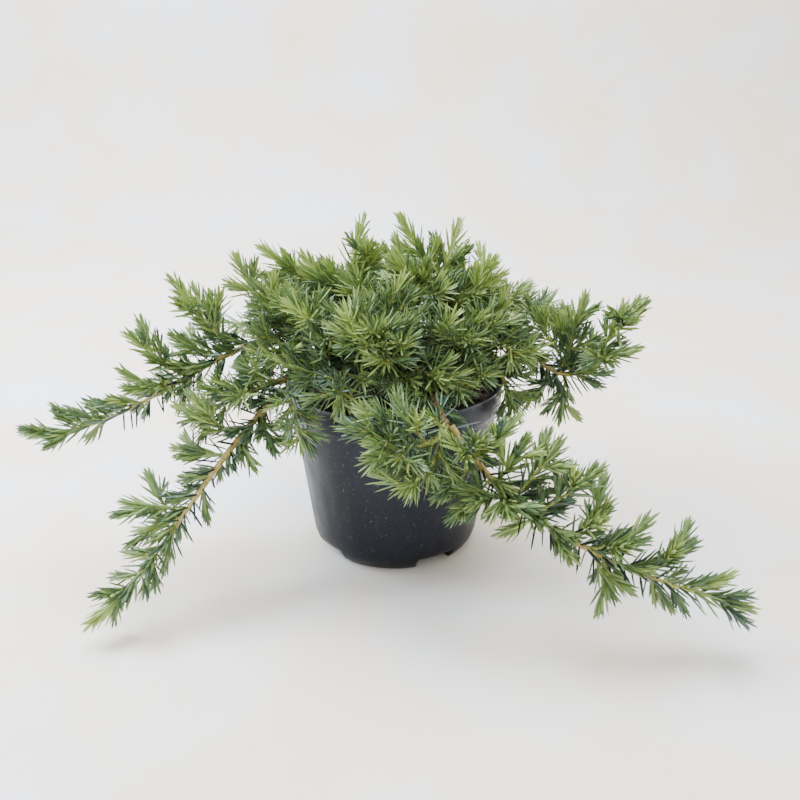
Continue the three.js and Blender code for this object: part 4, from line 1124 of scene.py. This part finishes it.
def needles_of(shoot, random):
    """Roots, headings, upper sides, lengths, width shares and tones of one shoot's needles."""
    limb = shoot["limb"]
    strong = shoot["mass"] in STRONG_MASSES
    bud_length = STRONG_BUD_LENGTH if strong else BUD_LENGTH
    distances = whorl_distances(limb.length, bud_length)
    centres, tangents, across, other = limb.frames(distances / limb.length)
    left = np.maximum(limb.length - TIP_REACH - bud_length - distances, 0)
    bud = np.clip((distances - limb.length + TIP_REACH + bud_length) / bud_length, 0, 1)
    shape = (len(distances), 3)
    turn = 120 * np.arange(3) + 60 * (np.arange(len(distances))[:, None] % 2) + random.uniform(0, 360)
    turn = np.radians(turn + random.normal(0, WHORL_TURN_SPREAD, shape))
    out = across[:, None] * np.cos(turn)[..., None] + other[:, None] * np.sin(turn)[..., None]
    young_lean = YOUNG_LEAN * (STRONG_LEAN_SHARE if strong else 1)
    opened = np.minimum(1, left / (STRONG_LEAN_DISTANCE if strong else LEAN_DISTANCE))
    lean = young_lean + (OLD_LEAN - young_lean) * opened - (young_lean - BUD_LEAN) * bud
    lean = np.radians(lean[:, None] + LEAN_SPREAD * random.uniform(-0.5, 0.5, shape))
    ahead = tangents[:, None]
    heading = ahead * np.cos(lean)[..., None] + out * np.sin(lean)[..., None]
    upper = ahead * np.sin(lean)[..., None] - out * np.cos(lean)[..., None]
    length = NEEDLE_LENGTH * random.uniform(*LENGTH_SHARE, shape)
    length = length * (1 - BUD_SHORTENING * bud[:, None] ** 1.5)
    length = length * (FINE_NEEDLE_SHARE if shoot["order"] == 3 else 1)
    radius = stem_radius(shoot, distances)[:, None, None]
    roots = centres[:, None] + out * radius * NEEDLE_SEAT
    # The tone step adds the shoot's painted shade to the needle's years
    age_and_painted_shade = left[:, None] / TONE_LENGTH + random.normal(0, TONE_SPREAD, shape) + shoot["shade"]
    tone = np.round(np.clip(age_and_painted_shade, 0, LAST_LIVE_TONE)).astype(int)
    dead = (random.uniform(0, 1, shape) < DEAD_SHARE) & (left[:, None] > DEAD_DISTANCE)
    tone = np.where(dead, DEAD_TONE, tone)
    missing = BARE_SHARE * shoot["bare"] * np.minimum(1, left / LEAFY_END)[:, None]
    kept = random.uniform(0, 1, shape) > missing
    width_share = np.full(shape, STRONG_WIDTH_SHARE if strong else 1.0)
    return [part[kept] for part in (roots, heading, upper, length, width_share, tone)]


def needle_corners(roots, heading, upper, length, width_share, random):
    """Corners of every needle: its rings from root to tip, then its point."""
    count = len(roots)
    side = np.cross(heading, upper)
    roll = random.normal(0, ROLL_SPREAD, count)[:, None]
    side, upper = side * np.cos(roll) + upper * np.sin(roll), upper * np.cos(roll) - side * np.sin(roll)
    bend = (NEEDLE_BEND * length * random.uniform(*BEND_SHARE, count))[:, None, None]
    width_share = width_share * random.uniform(*WIDTH_SHARE, count) * np.minimum(1, length / SHORT_NEEDLE)
    width_share = width_share[:, None, None]
    rows = [(place, size * across, size * lifted) for place, size in RINGS for across, lifted in SECTION]
    place, across, lifted = np.array([*rows, (1, 0, 0)]).T[:, None, :, None]
    return (roots[:, None] + heading[:, None] * length[:, None, None] * place
            + side[:, None] * width_share * NEEDLE_WIDTH / 2 * across
            + upper[:, None] * (width_share * NEEDLE_DEPTH * lifted + bend * place ** 2))


random = np.random.default_rng(31)
for shoot in shoots:
    shoot["shade"] = shade_of(shoot, random)

needle_faces, band_faces = template_faces()
for bough in boughs:
    parts = [needles_of(shoot, random) for shoot in shoots if shoot["bough"] == bough["name"]]
    columns = [np.concatenate(column) for column in zip(*parts)]
    roots, heading, length = columns[0], columns[1], columns[3][:, None]
    free = clear_of_pot(roots + heading * length, NEEDLE_CLEARANCE)
    free &= clear_of_pot(roots + heading * length / 2, NEEDLE_CLEARANCE)
    *shape, tone = [column[free] for column in columns]
    corners = needle_corners(*shape, random)
    first_corners = np.arange(len(corners)) * corners.shape[1]
    faces = (needle_faces[None] + first_corners[:, None, None]).reshape(-1, 3)
    needles = mesh_piece(f"{bough['name']}_needles", corners.reshape(-1, 3), [faces], needle_materials[0])
    for material in needle_materials[1:]:
        needles.data.materials.append(material)
    slots = 2 * tone[:, None] + band_faces[None].astype(int)
    needles.data.polygons.foreach_set("material_index", slots.astype(np.int32).ravel())
    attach(needles, "root")
    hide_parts(*[f"needles_{mass['name']}" for mass in bough["masses"]])


# Floor, light and view
# The pot stands on an off-white cloth that sweeps up behind it, under broad soft window light from
# the upper left. The camera looks down on it a little from the front.

CLOTH_WIDTH = 2600
CLOTH_BACK = 620
CLOTH_FRONT = -700
CLOTH_CURVE = 260
CLOTH_HEIGHT = 1500
CAMERA_PLACE = (2.8, -442, 266)
CAMERA_PITCH = 22.5
FOCAL_PIXELS = 860
PHOTO_PIXELS = 800
SENSOR = 36

# Washed cotton: matt, with faint warm and cool patches. Its weave is drawn 2 mm wide so that it shows.
cloth_material, tree, shader, place = new_material(
    "off_white_cloth", {"Roughness": 0.9, "Specular IOR Level": 0.2})
colour = patched(tree, linear("#f5e9d3"), "#eef1f4", place, 120, 0.36, 0.64, 4.0)
tree.links.new(colour, shader.inputs["Base Color"])
folds = raised_grain(tree, place, 90, 2.0, 0.35, 9)
weave = raised_grain(tree, place, 2.2, 3.0, 0.25, 0.4, folds)
tree.links.new(weave, shader.inputs["Normal"])
sweep = [(CLOTH_FRONT, 0.0)]
for turn in np.radians(np.linspace(-90, 0, 13)):
    sweep.append((CLOTH_BACK + CLOTH_CURVE * math.cos(turn), CLOTH_CURVE * (1 + math.sin(turn))))
sweep.append((CLOTH_BACK + CLOTH_CURVE, CLOTH_HEIGHT))
vertices = [(x, y, z) for y, z in sweep for x in (-CLOTH_WIDTH / 2, CLOTH_WIDTH / 2)]
faces = [(2 * row, 2 * row + 1, 2 * row + 3, 2 * row + 2) for row in range(len(sweep) - 1)]
cloth = mesh_piece("cloth_floor", vertices, [faces], cloth_material, smooth=True)


def add_area_light(name, place, target, size, power, colour):
    light = bpy.data.lights.new(name, "AREA")
    light.shape = "DISK"
    light.size = size * MM
    light.energy = power
    light.color = linear(colour)[:3]
    lamp = new_object(name, light)
    lamp.location = Vector(place) * MM
    lamp.rotation_euler = (Vector(place) - Vector(target)).to_track_quat("Z", "Y").to_euler()


add_area_light("window", (-850, 100, 800), (0, 0, 60), 600, 30.5, "#e4edff")
add_area_light("front_fill", (300, -900, 900), (0, 0, 60), 1100, 5.5, "#f6f9ff")
add_area_light("ceiling", (0, 300, 1300), (0, 0, 60), 1000, 35.5, "#eff4ff")
world = bpy.data.worlds.new("soft_room")
world.use_nodes = True
world.node_tree.nodes["Background"].inputs["Color"].default_value = linear("#f9ebd3")
world.node_tree.nodes["Background"].inputs["Strength"].default_value = 0.95
bpy.context.scene.world = world

view = bpy.data.cameras.new("view")
view.sensor_width = SENSOR
view.lens = FOCAL_PIXELS / PHOTO_PIXELS * SENSOR
view.clip_start = 0.01
camera = new_object("view", view)
camera.location = [value * MM for value in CAMERA_PLACE]
camera.rotation_euler = (math.radians(90 - CAMERA_PITCH), 0, 0)
bpy.context.scene.camera = camera
